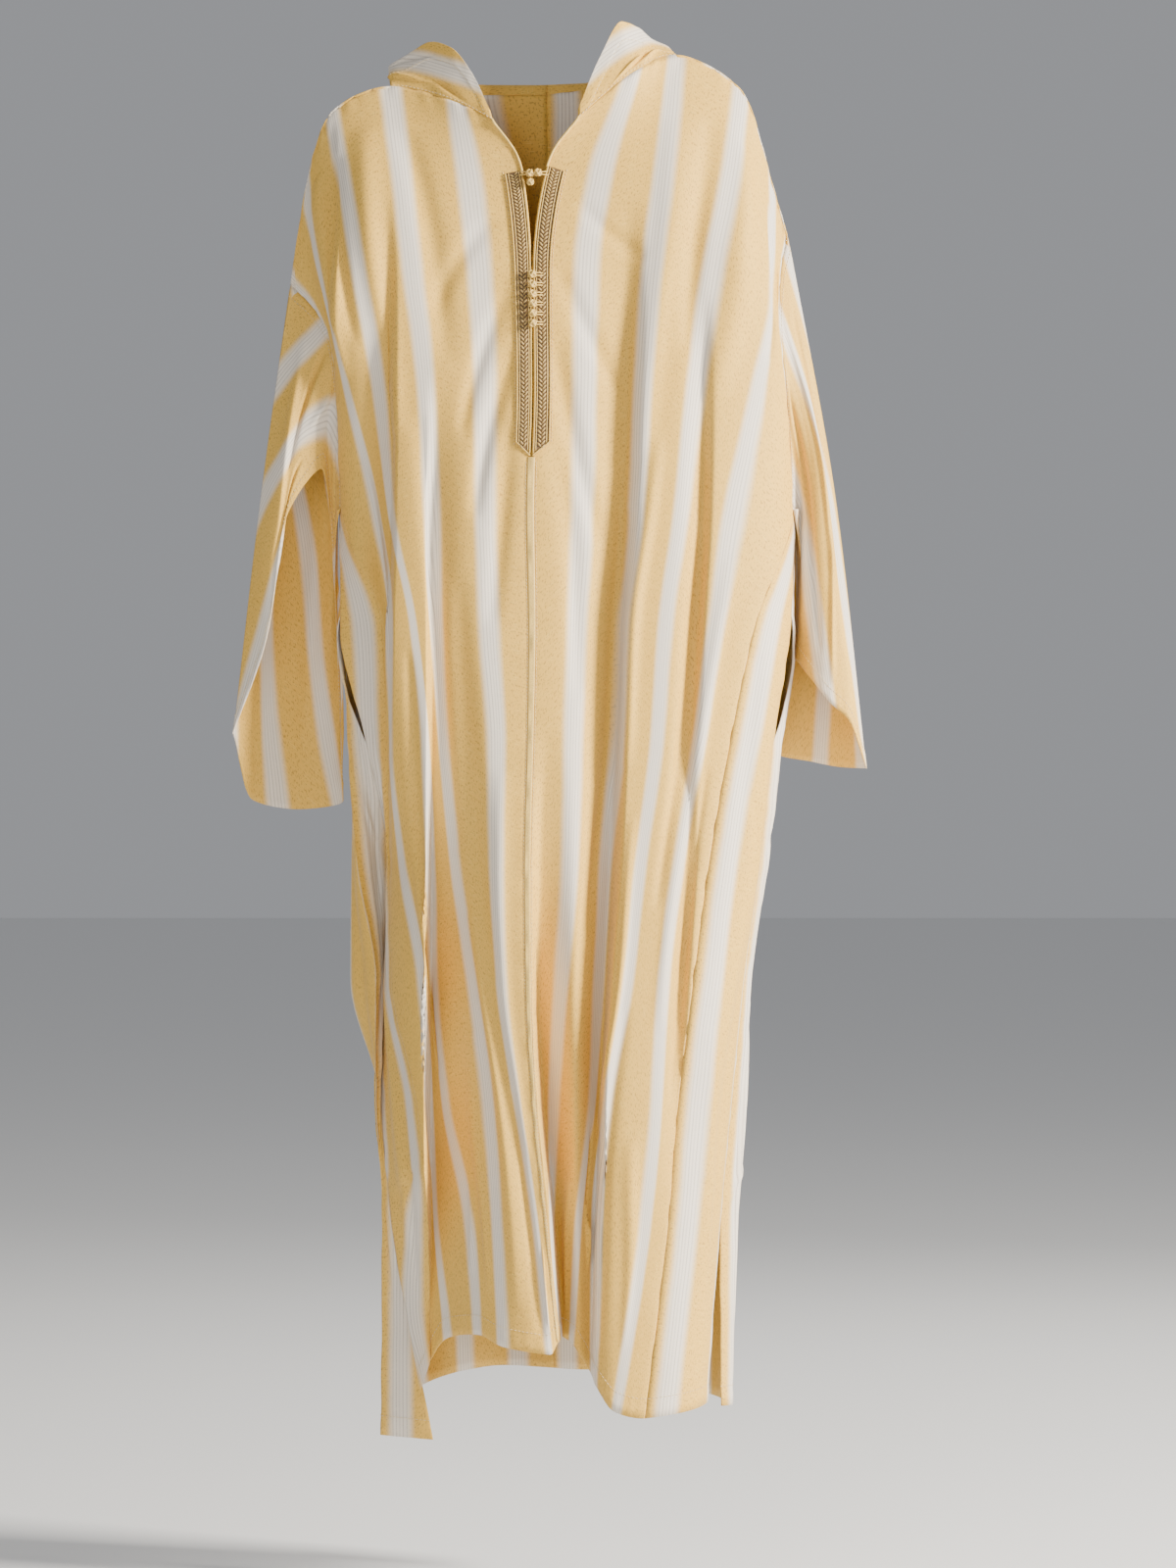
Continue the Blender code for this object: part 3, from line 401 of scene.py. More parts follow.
def sink(across, down):
    """Depth of the front's folds: the largest hollow at each place, blended smoothly with the
    others."""
    total = np.zeros_like(across)
    for low_side, levels in FOLDS.values():
        edge, depth, soft, sharp = section(levels, down)
        beyond = low_side * (across - edge)
        fall = np.exp(-((np.maximum(beyond, 0) / soft) ** 2))
        total += (depth * ease(0.5 + beyond / sharp) * fall) ** 3
    return np.cbrt(total)


def to_world(across, down, forward):
    """Metres, +Z up and -Y to the front."""
    return np.stack([(across - ORIGIN_ACROSS) * MM, -forward * MM, (ORIGIN_DOWN - down) * MM], -1)


def from_top(place, stand, tops, lines, forward, cloth):
    """Points whose depth leaves the top edge's and reaches `stand` a shoulder's depth below it."""
    across, down = place[..., 0], place[..., 1]
    start = bend(lines, forward, cloth)[None, :]
    fall = np.clip((down - bend(lines, tops[0], cloth)[None, :]) / SHOULDER_RISE, 0, 1)
    return to_world(across, down, start + (stand - start) * (1 - (1 - fall) ** 2))


def front_panel(side, cloth, rows):
    """Points of the front's right (-1) or left (1) half at these lines and rows."""
    cloth = np.asarray(cloth, float)
    place = lines_and_rows(*FRONT_TABLES[side], LINES, cloth, rows)
    across, down = place[..., 0], place[..., 1]
    right, left, edge_right, edge_left, full = section(FRONT_SECTIONS, down)
    share = np.clip((across - right) / (left - right), 0, 1)
    edge = edge_right if side < 0 else edge_left
    stand = edge + (full - edge) * np.sqrt(1 - np.abs(2 * share - 1) ** FRONT_SQUARENESS)
    stand = np.where(cloth[None, :] >= SIDE_SEAM, edge, stand - sink(across, down))
    return from_top(place, stand, FRONT_TABLES[side][1], LINES, FRONT_TOP_FORWARD, cloth)


def back_top(side, cloth):
    """The back's top edge at these lines, as its own tables give it."""
    place = lines_and_rows(*BACK_TABLES[side], BACK_LINES, cloth, (0.0,))
    forward = bend(BACK_LINES, BACK_TOP_FORWARD, cloth)[None, :]
    return to_world(place[..., 0], place[..., 1], forward)


def back_panel(side, cloth, rows):
    """Points of the back's right (-1) or left (1) half at these lines and rows."""
    cloth = np.asarray(cloth, float)
    place = lines_and_rows(*BACK_TABLES[side], BACK_LINES, cloth, rows)
    down = place[..., 1]
    columns = section(BACK_SECTIONS, down)
    edge, seam, turn = columns[:3] if side < 0 else columns[3:6]
    stations = np.array([-columns[6] * share for share in BACK_ROUND] + [turn, seam, edge])
    stand = np.stack([bend(BACK_LINES, stations[..., k], (c,))[0] for k, c in enumerate(cloth)], -1)
    wave = BACK_WAVE * ease_between(BACK_WAVE_LEVELS, down)
    wave = wave * (1 - ease_between(BACK_WAVE_END, cloth[None, :]))
    turns = (side * cloth[None, :] + BACK_WAVE_OFFSET) / BACK_WAVE_LENGTH
    stand = stand + wave * np.sin(2 * np.pi * turns)
    points = from_top(place, stand, BACK_TABLES[side][1], BACK_LINES, BACK_TOP_FORWARD, cloth)
    shoulder = front_panel(side, cloth, (0.0,)) - back_top(side, cloth)
    sewn = (cloth >= NECK_END)[None, :, None]
    fade = 1 - ease(np.asarray(rows, float))[:, None, None]
    return points + np.where(sewn, shoulder, 0.0) * fade


def gore(panel, side, cloth, rows):
    """A side gore: from the panel's edge at the gore seam to the side seam, gently crowned."""
    ends = panel(side, (GORE_SEAM, SIDE_SEAM), rows)
    sewn = np.asarray(rows) <= SIDE_SLIT
    ends[sewn, 1] = front_panel(side, (SIDE_SEAM,), rows[sewn])[:, 0]
    seam, edge = ends[:, :1], ends[:, 1:]
    rows = np.asarray(rows, float)
    share = ((np.asarray(cloth) - GORE_SEAM) / (SIDE_SEAM - GORE_SEAM))[None, :, None]
    chord = edge - seam
    outward = np.stack([chord[..., 1], -chord[..., 0], np.zeros_like(chord[..., 0])], -1)
    outward *= side if panel is front_panel else -side
    crown = GORE_CROWN[side] * ease((rows - UNDERARM) / GORE_CROWN_ROWS)[:, None, None]
    points = seam + share * chord + 4 * share * (1 - share) * crown * outward
    if panel is back_panel:
        start, end = POCKET_SLIT
        down = np.clip(ORIGIN_DOWN - points[..., 2] / MM, start, end)
        gape = POCKET_GAPE * MM * np.sin(np.pi * (down - start) / (end - start)) ** POCKET_FULLNESS
        points[..., 0] += side * gape * 0.5 * share[..., 0]
        points[..., 1] += gape * share[..., 0] ** 2
    return points


def sleeve(side, around, along):
    """A sleeve, rings from the armhole to the cuff. around counts the lines of its table from the
    crest."""
    rows = BODY_ROWS[BODY_ROWS <= UNDERARM]
    front = front_panel(side, (GORE_SEAM,), rows)[:, 0]
    back = back_panel(side, (GORE_SEAM,), rows)[::-1, 0]
    underarm = front_panel(side, (SIDE_SEAM,), (UNDERARM,))[0]
    ease_out = np.array([side * UNDERARM_EASE * MM, 0, 0])
    front[-1] += ease_out
    back[0] += ease_out
    underarm = underarm + ease_out
    armhole = np.concatenate([front, underarm, back])
    table = np.array(SLEEVE_RIGHT if side < 0 else SLEEVE_LEFT, float)
    table = np.concatenate([table, table[:1]])
    stations = np.concatenate([rows, [UNDERARM + 0.5], UNDERARM + 1 + rows])
    rings = bend(SLEEVE_KNOTS, table, stations)
    rings = to_world(rings[..., 0], rings[..., 1], rings[..., 2])
    track = np.concatenate([armhole[:, None], rings], 1)
    track = bend((0.0, 0.5, 1.0), track.swapaxes(0, 1), along)
    return bend(stations, track.swapaxes(0, 1), around).swapaxes(0, 1)


def neck_edge(side):
    """The neck seam of one side, from the front end to the centre back, and its hood stations."""
    front_cloth = [c for c in PANEL_LINES if c <= NECK_END]
    back_cloth = [c for c in BACK_PANEL_LINES if c < NECK_END][::-1]
    front = front_panel(side, front_cloth, (0.0,))[0]
    back = back_panel(side, back_cloth, (0.0,))[0]
    stations = front_cloth + [2 * NECK_END - c for c in back_cloth]
    return np.concatenate([front, back]), np.array(stations)


def hood(side, rise_steps):
    """Half the hood: up from the neck seam to its highest line, and behind the shoulders down into
    a pouch."""
    seam, stations = neck_edge(side)
    table = np.array(HOOD_RIGHT if side < 0 else HOOD_LEFT, float)
    stand = bend(HOOD_LINES, table, stations)
    peak = to_world(stand[:, 0], stand[:, 1], stand[:, 2])
    hang, off = stand[:, 3] * MM, stand[:, 4] * MM
    to_middle = peak[-1, 0] - peak[:, 0]

    def behind(out, drop, inward):
        """A point of the pouch: off the back by a share of its depth, down by a share of its
        hang."""
        point = peak.copy()
        point[:, 0] += to_middle * inward * hang / hang[-1]
        point[:, 1] += off * out
        point[:, 2] -= hang * drop
        return point

    track = np.stack(
        [
            seam,
            (seam + peak) / 2 + np.array([0, 0, HOOD_BULGE * MM]),
            peak,
            behind(0.3, 0.06, 0.02),
            behind(0.42, 0.5, HOOD_POINT * 0.5),
            behind(0.62, 0.97, HOOD_POINT),
            behind(0.95, 0.9, HOOD_POINT * 0.95),
            behind(1.1, 0.5, HOOD_POINT * 0.5),
            behind(0.95, 0.12, 0.04),
        ]
    )
    # In front of the shoulders the hood only stands up, and its rim is its highest line.
    standing = seam + (peak - seam) * np.linspace(0, 1, len(track))[:, None, None]
    over = np.clip((stations - NECK_END) / HOOD_TURN, 0, 1)[None, :, None]
    track = standing * (1 - over) + track * over
    return bend(np.arange(len(track)), track, np.linspace(0, len(track) - 1, rise_steps))


def directions(points):
    """Unit normals of a grid, from the differences to the neighbours along and across."""
    along = np.gradient(points, axis=0)
    across = np.gradient(points, axis=1)
    normal = np.cross(along, across)
    return normal / np.maximum(np.linalg.norm(normal, axis=-1, keepdims=True), 1e-12)

# %% [markdown]
# Creases
#
# The large folds are in the form. What makes it read as cloth are the small creases on top: long
# soft ones that hang from the shoulders, drags that fan out from the end of the braid, and short
# ones near the hems. Each is listed as a soft ridge (height above 0) or trough between two places
# on the cloth, bowed a little to one side. No two have the same length, width or depth.

# %% Crease tables
# cloth and section at both ends, width in cm, height in mm, bow in cm
FRONT_CREASES = {
    -1: (
        (2.2, 2.2, 8.0, 3.4, 0.8, -1.8, 0.6), (2.0, 2.7, 6.4, 4.1, 0.9, -2.4, 0.5),
        (2.4, 3.3, 4.6, 5.0, 1.0, -2.0, -0.4), (3.2, 1.5, 10.5, 2.4, 0.9, -1.5, 0.5),
        (11.5, 0.5, 9.6, 2.8, 1.4, -2.2, -0.7), (16.0, 0.4, 17.4, 3.4, 1.6, 2.6, 0.8),
        (20.5, 0.6, 23.0, 2.6, 1.0, -2.6, 0.5), (24.5, 0.5, 26.5, 2.9, 1.2, 2.2, -0.5),
        (13.5, 3.2, 12.0, 6.9, 1.3, -2.8, -0.6), (8.4, 4.6, 7.2, 8.0, 1.5, -2.4, 0.7),
        (4.3, 6.2, 4.0, 9.5, 1.2, 1.8, 0.4), (10.8, 7.4, 9.8, 10.7, 1.2, 2.6, -0.6),
        (6.2, 8.9, 6.6, 10.9, 0.9, -2.4, 0.3), (14.2, 8.4, 15.6, 10.6, 1.0, 2.0, 0.5),
        (22.5, 5.2, 21.5, 8.8, 0.9, -2.0, 0.6), (27.5, 3.7, 30.5, 6.1, 0.8, 1.9, -0.5),
        (25.0, 7.0, 29.0, 9.6, 0.9, -1.8, 0.7), (18.0, 9.7, 20.6, 10.5, 0.6, 1.6, 0.2),
        (3.0, 10.2, 4.4, 10.8, 0.4, 1.3, 0.1), (29.2, 1.6, 31.4, 2.7, 0.5, -1.7, 0.2),
    ),
    1: (
        (2.2, 2.0, 9.0, 3.0, 0.9, -1.7, -0.5), (2.0, 2.6, 7.0, 4.3, 1.0, -2.5, -0.6),
        (2.3, 3.4, 5.4, 5.6, 1.1, -2.2, 0.4), (3.4, 1.3, 11.5, 1.9, 0.8, -1.3, -0.4),
        (13.5, 0.5, 12.6, 3.6, 1.6, 2.2, 0.8), (17.0, 0.4, 18.4, 2.7, 1.2, -2.4, -0.5),
        (21.6, 0.5, 22.6, 3.1, 1.5, 2.8, 0.6), (26.0, 0.6, 28.5, 2.7, 1.0, -2.2, 0.5),
        (11.0, 4.0, 9.5, 7.6, 1.4, -2.4, 0.6), (15.3, 3.4, 14.4, 6.2, 1.1, 2.0, -0.6),
        (23.8, 4.2, 24.4, 7.4, 1.0, -2.2, 0.4), (28.4, 4.4, 27.4, 8.4, 1.2, 2.1, -0.5),
        (17.2, 6.6, 17.6, 9.3, 1.1, 1.9, 0.5), (20.6, 8.2, 21.2, 10.8, 1.0, -2.1, 0.4),
        (14.6, 9.85, 18.0, 10.35, 0.35, 3.0, 0.15), (13.0, 9.2, 16.2, 10.1, 0.6, -2.0, 0.3),
        (24.2, 9.3, 26.8, 10.7, 0.8, 1.8, -0.4), (30.0, 6.2, 31.5, 9.0, 0.8, -1.9, 0.4),
        (9.0, 9.6, 9.6, 10.8, 0.7, 1.4, 0.2), (30.2, 1.2, 31.6, 2.4, 0.5, -1.8, 0.2),
    ),
}
BACK_CREASES = {
    -1: (
        (4.0, 1.2, 9.5, 3.8, 1.6, -2.4, 0.8), (10.5, 0.8, 13.0, 4.2, 1.5, 2.4, -0.7),
        (17.0, 0.6, 18.0, 3.6, 1.3, -2.6, 0.6), (22.5, 0.7, 24.5, 3.2, 1.2, 2.3, 0.5),
        (6.5, 4.4, 5.6, 7.8, 1.5, -2.0, -0.6), (13.2, 5.2, 12.4, 8.6, 1.3, 2.2, 0.6),
        (20.0, 4.8, 21.4, 8.4, 1.1, -2.3, 0.5), (26.2, 4.1, 27.8, 6.6, 0.9, 1.9, -0.4),
        (9.4, 8.3, 10.6, 10.8, 1.0, -2.2, 0.4), (24.0, 8.0, 25.8, 10.5, 0.9, 1.8, 0.5),
        (29.5, 6.8, 30.4, 9.4, 0.8, -1.7, 0.3), (2.5, 2.6, 5.0, 3.1, 0.7, -1.2, 0.2),
    ),
    1: (
        (4.6, 0.9, 8.2, 3.4, 1.5, -2.2, -0.7), (12.0, 0.9, 14.6, 4.6, 1.6, 2.5, 0.7),
        (18.6, 0.5, 19.6, 3.1, 1.2, -2.5, 0.5), (24.0, 0.8, 25.2, 3.6, 1.3, 2.1, -0.6),
        (5.4, 5.0, 6.8, 8.8, 1.4, -2.2, 0.6), (11.8, 4.6, 11.0, 7.6, 1.2, 1.9, -0.5),
        (19.4, 5.4, 20.2, 9.0, 1.2, -2.1, -0.5), (27.0, 4.3, 28.6, 7.2, 0.9, 1.8, 0.4),
        (8.2, 8.8, 7.4, 10.9, 0.9, 2.0, 0.4), (15.6, 8.0, 16.8, 10.6, 1.0, -2.3, 0.5),
        (30.6, 7.2, 29.8, 9.8, 0.7, -1.6, -0.3), (3.0, 2.9, 6.2, 3.7, 0.8, -1.3, 0.3),
    ),
}
# On a gore the first place is the distance across it, from 33.5 to 40.
GORE_CREASES = (
    (34.6, 5.2, 36.0, 8.2, 0.7, -1.6, 0.3), (37.4, 5.8, 38.0, 7.4, 0.5, 1.5, 0.2),
    (38.4, 7.6, 37.2, 10.2, 0.7, -1.9, -0.3), (35.4, 8.4, 36.4, 10.6, 0.6, 1.6, 0.3),
    (36.0, 6.4, 38.8, 7.0, 0.35, -1.2, 0.1), (35.2, 9.6, 38.4, 9.9, 0.35, 1.1, 0.1),
)
# On a sleeve: line round it (0 to 9) and share of its length, at both ends.
SLEEVE_CREASES = {
    -1: (
        (0.8, 0.08, 1.2, 0.75, 1.3, 2.0, 0.6), (1.9, 0.05, 1.6, 0.6, 0.8, -2.2, -0.4),
        (2.9, 0.1, 2.3, 0.5, 0.7, 1.6, 0.3), (2.2, 0.7, 1.4, 0.96, 0.6, -1.6, 0.2),
        (6.0, 0.1, 6.6, 0.8, 1.2, -2.2, 0.6), (7.4, 0.2, 7.0, 0.9, 1.1, 2.0, -0.5),
        (8.4, 0.1, 8.2, 0.7, 0.9, -1.8, 0.4), (5.0, 0.4, 6.2, 0.95, 0.8, 1.7, 0.4),
        (3.4, 0.15, 4.2, 0.45, 0.5, -1.4, 0.2),
    ),
    1: (
        (0.9, 0.1, 0.7, 0.85, 1.1, -2.0, 0.5), (1.9, 0.06, 1.5, 0.7, 0.8, 1.9, -0.4),
        (2.8, 0.1, 2.4, 0.9, 0.6, -2.3, 0.4), (1.3, 0.6, 1.8, 0.95, 0.6, 1.5, 0.2),
        (6.2, 0.15, 6.0, 0.85, 1.1, 2.1, -0.6), (7.2, 0.1, 7.6, 0.7, 1.0, -2.2, 0.5),
        (8.3, 0.3, 8.0, 0.92, 0.9, 1.6, 0.4), (5.2, 0.3, 5.0, 0.8, 0.7, -1.6, 0.3),
    ),
}
# On the hood: station round it and share of the way from the neck seam to the rim.
HOOD_CREASES = {
    -1: (
        (4.0, 0.06, 7.0, 0.3, 0.8, -1.8, 0.4), (9.0, 0.2, 12.0, 0.55, 1.0, 2.2, 0.5),
        (14.0, 0.25, 17.0, 0.6, 1.1, -2.2, -0.5), (19.0, 0.2, 21.5, 0.5, 1.0, 1.8, 0.4),
        (16.0, 0.66, 20.0, 0.95, 0.9, -2.0, 0.4), (21.5, 0.62, 22.5, 0.9, 0.8, 1.7, 0.3),
        (8.0, 0.7, 11.0, 0.93, 0.8, -1.6, 0.3),
    ),
    1: (
        (2.5, 0.05, 6.5, 0.26, 0.6, 2.0, 0.3), (4.5, 0.08, 8.0, 0.32, 0.5, -2.0, 0.3),
        (7.2, 0.1, 10.0, 0.36, 0.6, 1.9, -0.3), (12.0, 0.2, 15.5, 0.6, 1.0, -2.1, 0.5),
        (18.0, 0.25, 20.0, 0.55, 1.1, 2.0, -0.4), (14.5, 0.64, 18.5, 0.94, 0.9, -1.9, 0.4),
        (20.5, 0.6, 22.0, 0.92, 0.8, 1.8, 0.3),
    ),
}
# How many times its height in the tables a crease gets.
CREASE_SHARE = 2.0


def crease_height(table, across, along):
    """Height of all creases at each place. Each falls off across its line as exp(-(distance /
    width)^2), and rises and dies along it as the square root of a half sine."""
    total = np.zeros(np.broadcast(across, along).shape)
    for x0, y0, x1, y1, width, height, bow in table:
        step = np.array([x1 - x0, y1 - y0])
        length = np.hypot(*step)
        dx, dy = across - x0, along - y0
        share = np.clip((dx * step[0] + dy * step[1]) / length**2, 0, 1)
        arch = np.sin(np.pi * share)
        off = (dx * step[1] - dy * step[0]) / length - bow * arch
        beyond = np.hypot(dx - share * step[0], dy - share * step[1])
        far = np.maximum(np.abs(off), beyond - abs(bow))
        total += height * np.exp(-((far / width) ** 2)) * np.sqrt(np.maximum(arch, 0))
    return CREASE_SHARE * total * MM


def scaled(table, across, along):
    """The table with its places as lengths on the cloth, in cm."""
    return [
        (x0 * across, y0 * along, x1 * across, y1 * along, *rest)
        for x0, y0, x1, y1, *rest in table
    ]


# A sewn edge is drawn in by so many mm over so many cm, and waves by so many mm over a wider strip.
DRAWN, DRAWN_CM = 0.6, 0.45
WAVY, WAVY_CM = 0.34, 1.3
# A turned hem is thicker, in mm, up to an edge this soft in cm. It has a groove and small waves.
HEM_THICK, HEM_EDGE = 0.5, 0.12
GROOVE, GROOVE_CM = 0.7, 0.1
HEM_WAVE, HEM_WAVE_CM = 0.25, 0.6


def pucker(distance, along, seed):
    """A sewn edge: drawn in over a few millimetres, with small uneven waves along it."""
    wave = np.sin(along * 1.3 + seed) + 0.7 * np.sin(along * 2.1 + 2.1 * seed)
    wave = wave + 0.5 * np.sin(along * 0.7 + seed)
    drawn = -DRAWN * np.exp(-((distance / DRAWN_CM) ** 2))
    return (drawn + WAVY * wave * np.exp(-((distance / WAVY_CM) ** 2))) * MM


def hem_step(distance, depth, seed, along):
    """A turned hem: thicker up to its stitch line, with a groove and slight waves there."""
    turned = HEM_THICK * ease((depth - distance) / HEM_EDGE + 0.5)
    groove = -GROOVE * np.exp(-(((distance - depth + HEM_EDGE) / GROOVE_CM) ** 2))
    wave = HEM_WAVE * np.sin(along * 2.6 + seed) * np.sin(along * 1.13 + seed)
    wave = wave * ease((depth + HEM_WAVE_CM - distance) / HEM_WAVE_CM)
    return (turned + groove + wave) * MM


# %% [markdown]
# Woven stripes
#
# The cloth is a flecked yellow slub weave with cream bands 7.5 cm apart. Each band holds fine
# grey-brown lines and has soft edges. All of it is worked out from the piece's own UV, which has
# distances on the cloth in cm, so the stripes run straight on the cloth and bend with it. A painted
# picture would do too, but this stays sharp.

# %% Material nodes
def shader_of(name, roughness, sheen):
    """A Principled material with its plain numbers set on the sockets. Gives its tree and
    shader."""
    made = bpy.data.materials.new(name)
    made.use_nodes = True
    shader = made.node_tree.nodes["Principled BSDF"]
    shader.inputs["Roughness"].default_value = roughness
    shader.inputs["Sheen Weight"].default_value = sheen
    shader.inputs["Sheen Roughness"].default_value = 0.45
    return made, made.node_tree, shader


def number(tree, operation, first, second=None, third=None):
    """A math node. Inputs are sockets or numbers."""
    node = tree.nodes.new("ShaderNodeMath")
    node.operation = operation
    for socket, value in zip(node.inputs, (first, second, third)):
        if value is None:
            continue
        if isinstance(value, (int, float)):
            socket.default_value = value
        else:
            tree.links.new(value, socket)
    return node.outputs[0]


def step_down(tree, value, start, end):
    """1 where the value is under start, 0 over end, smooth between."""
    node = tree.nodes.new("ShaderNodeMapRange")
    node.interpolation_type = "SMOOTHSTEP"
    tree.links.new(value, node.inputs["Value"])
    for name, level in (("From Min", start), ("From Max", end), ("To Min", 1.0), ("To Max", 0.0)):
        node.inputs[name].default_value = level
    return node.outputs[0]


def mixed(tree, factor, first, second):
    """A colour mix. The colours are sockets or triples."""
    node = tree.nodes.new("ShaderNodeMix")
    node.data_type = "RGBA"
    if isinstance(factor, float):
        node.inputs[0].default_value = factor
    else:
        tree.links.new(factor, node.inputs[0])
    for socket, value in ((node.inputs[6], first), (node.inputs[7], second)):
        if isinstance(value, tuple):
            socket.default_value = (*value, 1.0)
        else:
            tree.links.new(value, socket)
    return node.outputs[2]


def stretched_noise(tree, place, scale, stretch, detail):
    """Noise on the cloth, stretched along one of its two ways."""
    mapping = tree.nodes.new("ShaderNodeMapping")
    mapping.inputs["Scale"].default_value = (*stretch, 1.0)
    tree.links.new(place, mapping.inputs["Vector"])
    noise = tree.nodes.new("ShaderNodeTexNoise")
    noise.inputs["Scale"].default_value = scale
    noise.inputs["Detail"].default_value = detail
    tree.links.new(mapping.outputs[0], noise.inputs["Vector"])
    return noise.outputs[0]


# Distance between the bands, the first one's middle, and where a band starts to fade and ends,
# in cm from its middle.
BAND_REPEAT = 7.5
BAND_MIDDLE = 5.0
BAND_HALF = (0.6, 1.75)
# Fine lines of a band: distance from its middle and half width in cm, and how dark.
PIN_LINES = (
    (-0.82, 0.05, 0.5), (-0.45, 0.035, 0.75), (-0.1, 0.06, 0.45), (0.28, 0.03, 0.8),
    (0.7, 0.055, 0.55),
)
GROUND = (0.72, 0.415, 0.058)
GROUND_DARK = (0.40, 0.20, 0.026)
GROUND_LIGHT = (0.84, 0.56, 0.12)
CREAM = (0.75, 0.675, 0.57)
LINE = (0.33, 0.26, 0.21)


def striped_cloth():
    """Yellow ground and cream bands. The band mask is 1 within 0.6 cm of a band's middle and 0
    beyond 1.75 cm, and the distance is |mod(u - middle + repeat / 2, repeat) - repeat / 2|."""
    made, tree, shader = shader_of("striped_slub_cloth", 0.7, 0.15)
    uv = tree.nodes.new("ShaderNodeUVMap")
    uv.uv_map = "cloth_cm"
    parts = tree.nodes.new("ShaderNodeSeparateXYZ")
    tree.links.new(uv.outputs[0], parts.inputs[0])
    wander = stretched_noise(tree, uv.outputs[0], 0.12, (1.0, 1.0), 1.0)
    waver = number(tree, "MULTIPLY", number(tree, "SUBTRACT", wander, 0.5), 0.35)
    across = number(tree, "ADD", parts.outputs[0], waver)
    shifted = number(tree, "ADD", across, 20 * BAND_REPEAT + BAND_REPEAT / 2 - BAND_MIDDLE)
    signed = number(tree, "SUBTRACT", number(tree, "MODULO", shifted, BAND_REPEAT), BAND_REPEAT / 2)
    band = step_down(tree, number(tree, "ABSOLUTE", signed), *BAND_HALF)
    flecks = stretched_noise(tree, uv.outputs[0], 7.0, (1.0, 0.45), 3.0)
    slubs = stretched_noise(tree, uv.outputs[0], 2.2, (0.35, 6.0), 2.0)
    clouds = stretched_noise(tree, uv.outputs[0], 0.25, (1.0, 0.3), 2.0)
    ground = mixed(tree, step_down(tree, flecks, 0.36, 0.46), GROUND, GROUND_DARK)
    slub = number(tree, "SUBTRACT", 1.0, step_down(tree, slubs, 0.58, 0.72))
    ground = mixed(tree, slub, ground, GROUND_LIGHT)
    ground = mixed(tree, number(tree, "MULTIPLY", clouds, 0.3), ground, GROUND_LIGHT)
    lines = None
    for place, half, dark in PIN_LINES:
        off = number(tree, "ABSOLUTE", number(tree, "SUBTRACT", signed, place))
        line = number(tree, "MULTIPLY", step_down(tree, off, half, half + 0.05), dark)
        lines = line if lines is None else number(tree, "MAXIMUM", lines, line)
    broken = number(tree, "MULTIPLY", lines, number(tree, "SUBTRACT", 1.15, slubs))
    cream = mixed(tree, broken, CREAM, LINE)
    colour = mixed(tree, band, ground, cream)
    tree.links.new(colour, shader.inputs["Base Color"])
    weave = stretched_noise(tree, uv.outputs[0], 14.0, (1.0, 0.5), 2.0)
    bump = tree.nodes.new("ShaderNodeBump")
    bump.inputs["Strength"].default_value = 0.28
    bump.inputs["Distance"].default_value = 0.4 * MM
    height = number(tree, "ADD", weave, number(tree, "MULTIPLY", slubs, 0.8))
    tree.links.new(height, bump.inputs["Height"])
    tree.links.new(bump.outputs[0], shader.inputs["Normal"])
    return made


def thread(name, light, dark, scale, roughness):
    """Twisted thread: a colour that goes from light to dark with fine noise of the object."""
    made, tree, shader = shader_of(name, roughness, 0.05)
    place = tree.nodes.new("ShaderNodeTexCoord").outputs["Object"]
    noise = stretched_noise(tree, place, scale, (1.0, 1.0), 3.0)
    colour = mixed(tree, step_down(tree, noise, 0.38, 0.62), light, dark)
    tree.links.new(colour, shader.inputs["Base Color"])
    bump = tree.nodes.new("ShaderNodeBump")
    bump.inputs["Strength"].default_value = 0.3
    bump.inputs["Distance"].default_value = 0.3 * MM
    tree.links.new(noise, bump.inputs["Height"])
    tree.links.new(bump.outputs[0], shader.inputs["Normal"])
    return made


CLOTH = striped_cloth()
GROUND_BRAID = thread("dark_braid_thread", (0.17, 0.095, 0.032), (0.10, 0.055, 0.02), 1800.0, 0.55)
GOLD = thread("gold_braid_thread", (0.60, 0.41, 0.14), (0.32, 0.20, 0.055), 1800.0, 0.42)
PALE = thread("pale_cord_thread", (0.80, 0.55, 0.15), (0.54, 0.34, 0.075), 1500.0, 0.48)
SEWING = thread("cream_sewing_thread", (0.82, 0.68, 0.42), (0.62, 0.47, 0.24), 2500.0, 0.55)
print("materials", [made.name for made in (CLOTH, GROUND_BRAID, GOLD, PALE, SEWING)])

# %% [markdown]
# Thin cloth
#
# Each piece is a shell 0.9 mm thick, closed at its edges, on the form's own surface moved by
# creases, seams and hems. Two single sheets would show light through their edges, and a Solidify
# modifier would round the folds, so the inner face is made from the same grid.

# %% Shell and tube makers
CLOTH_THICK = 0.9


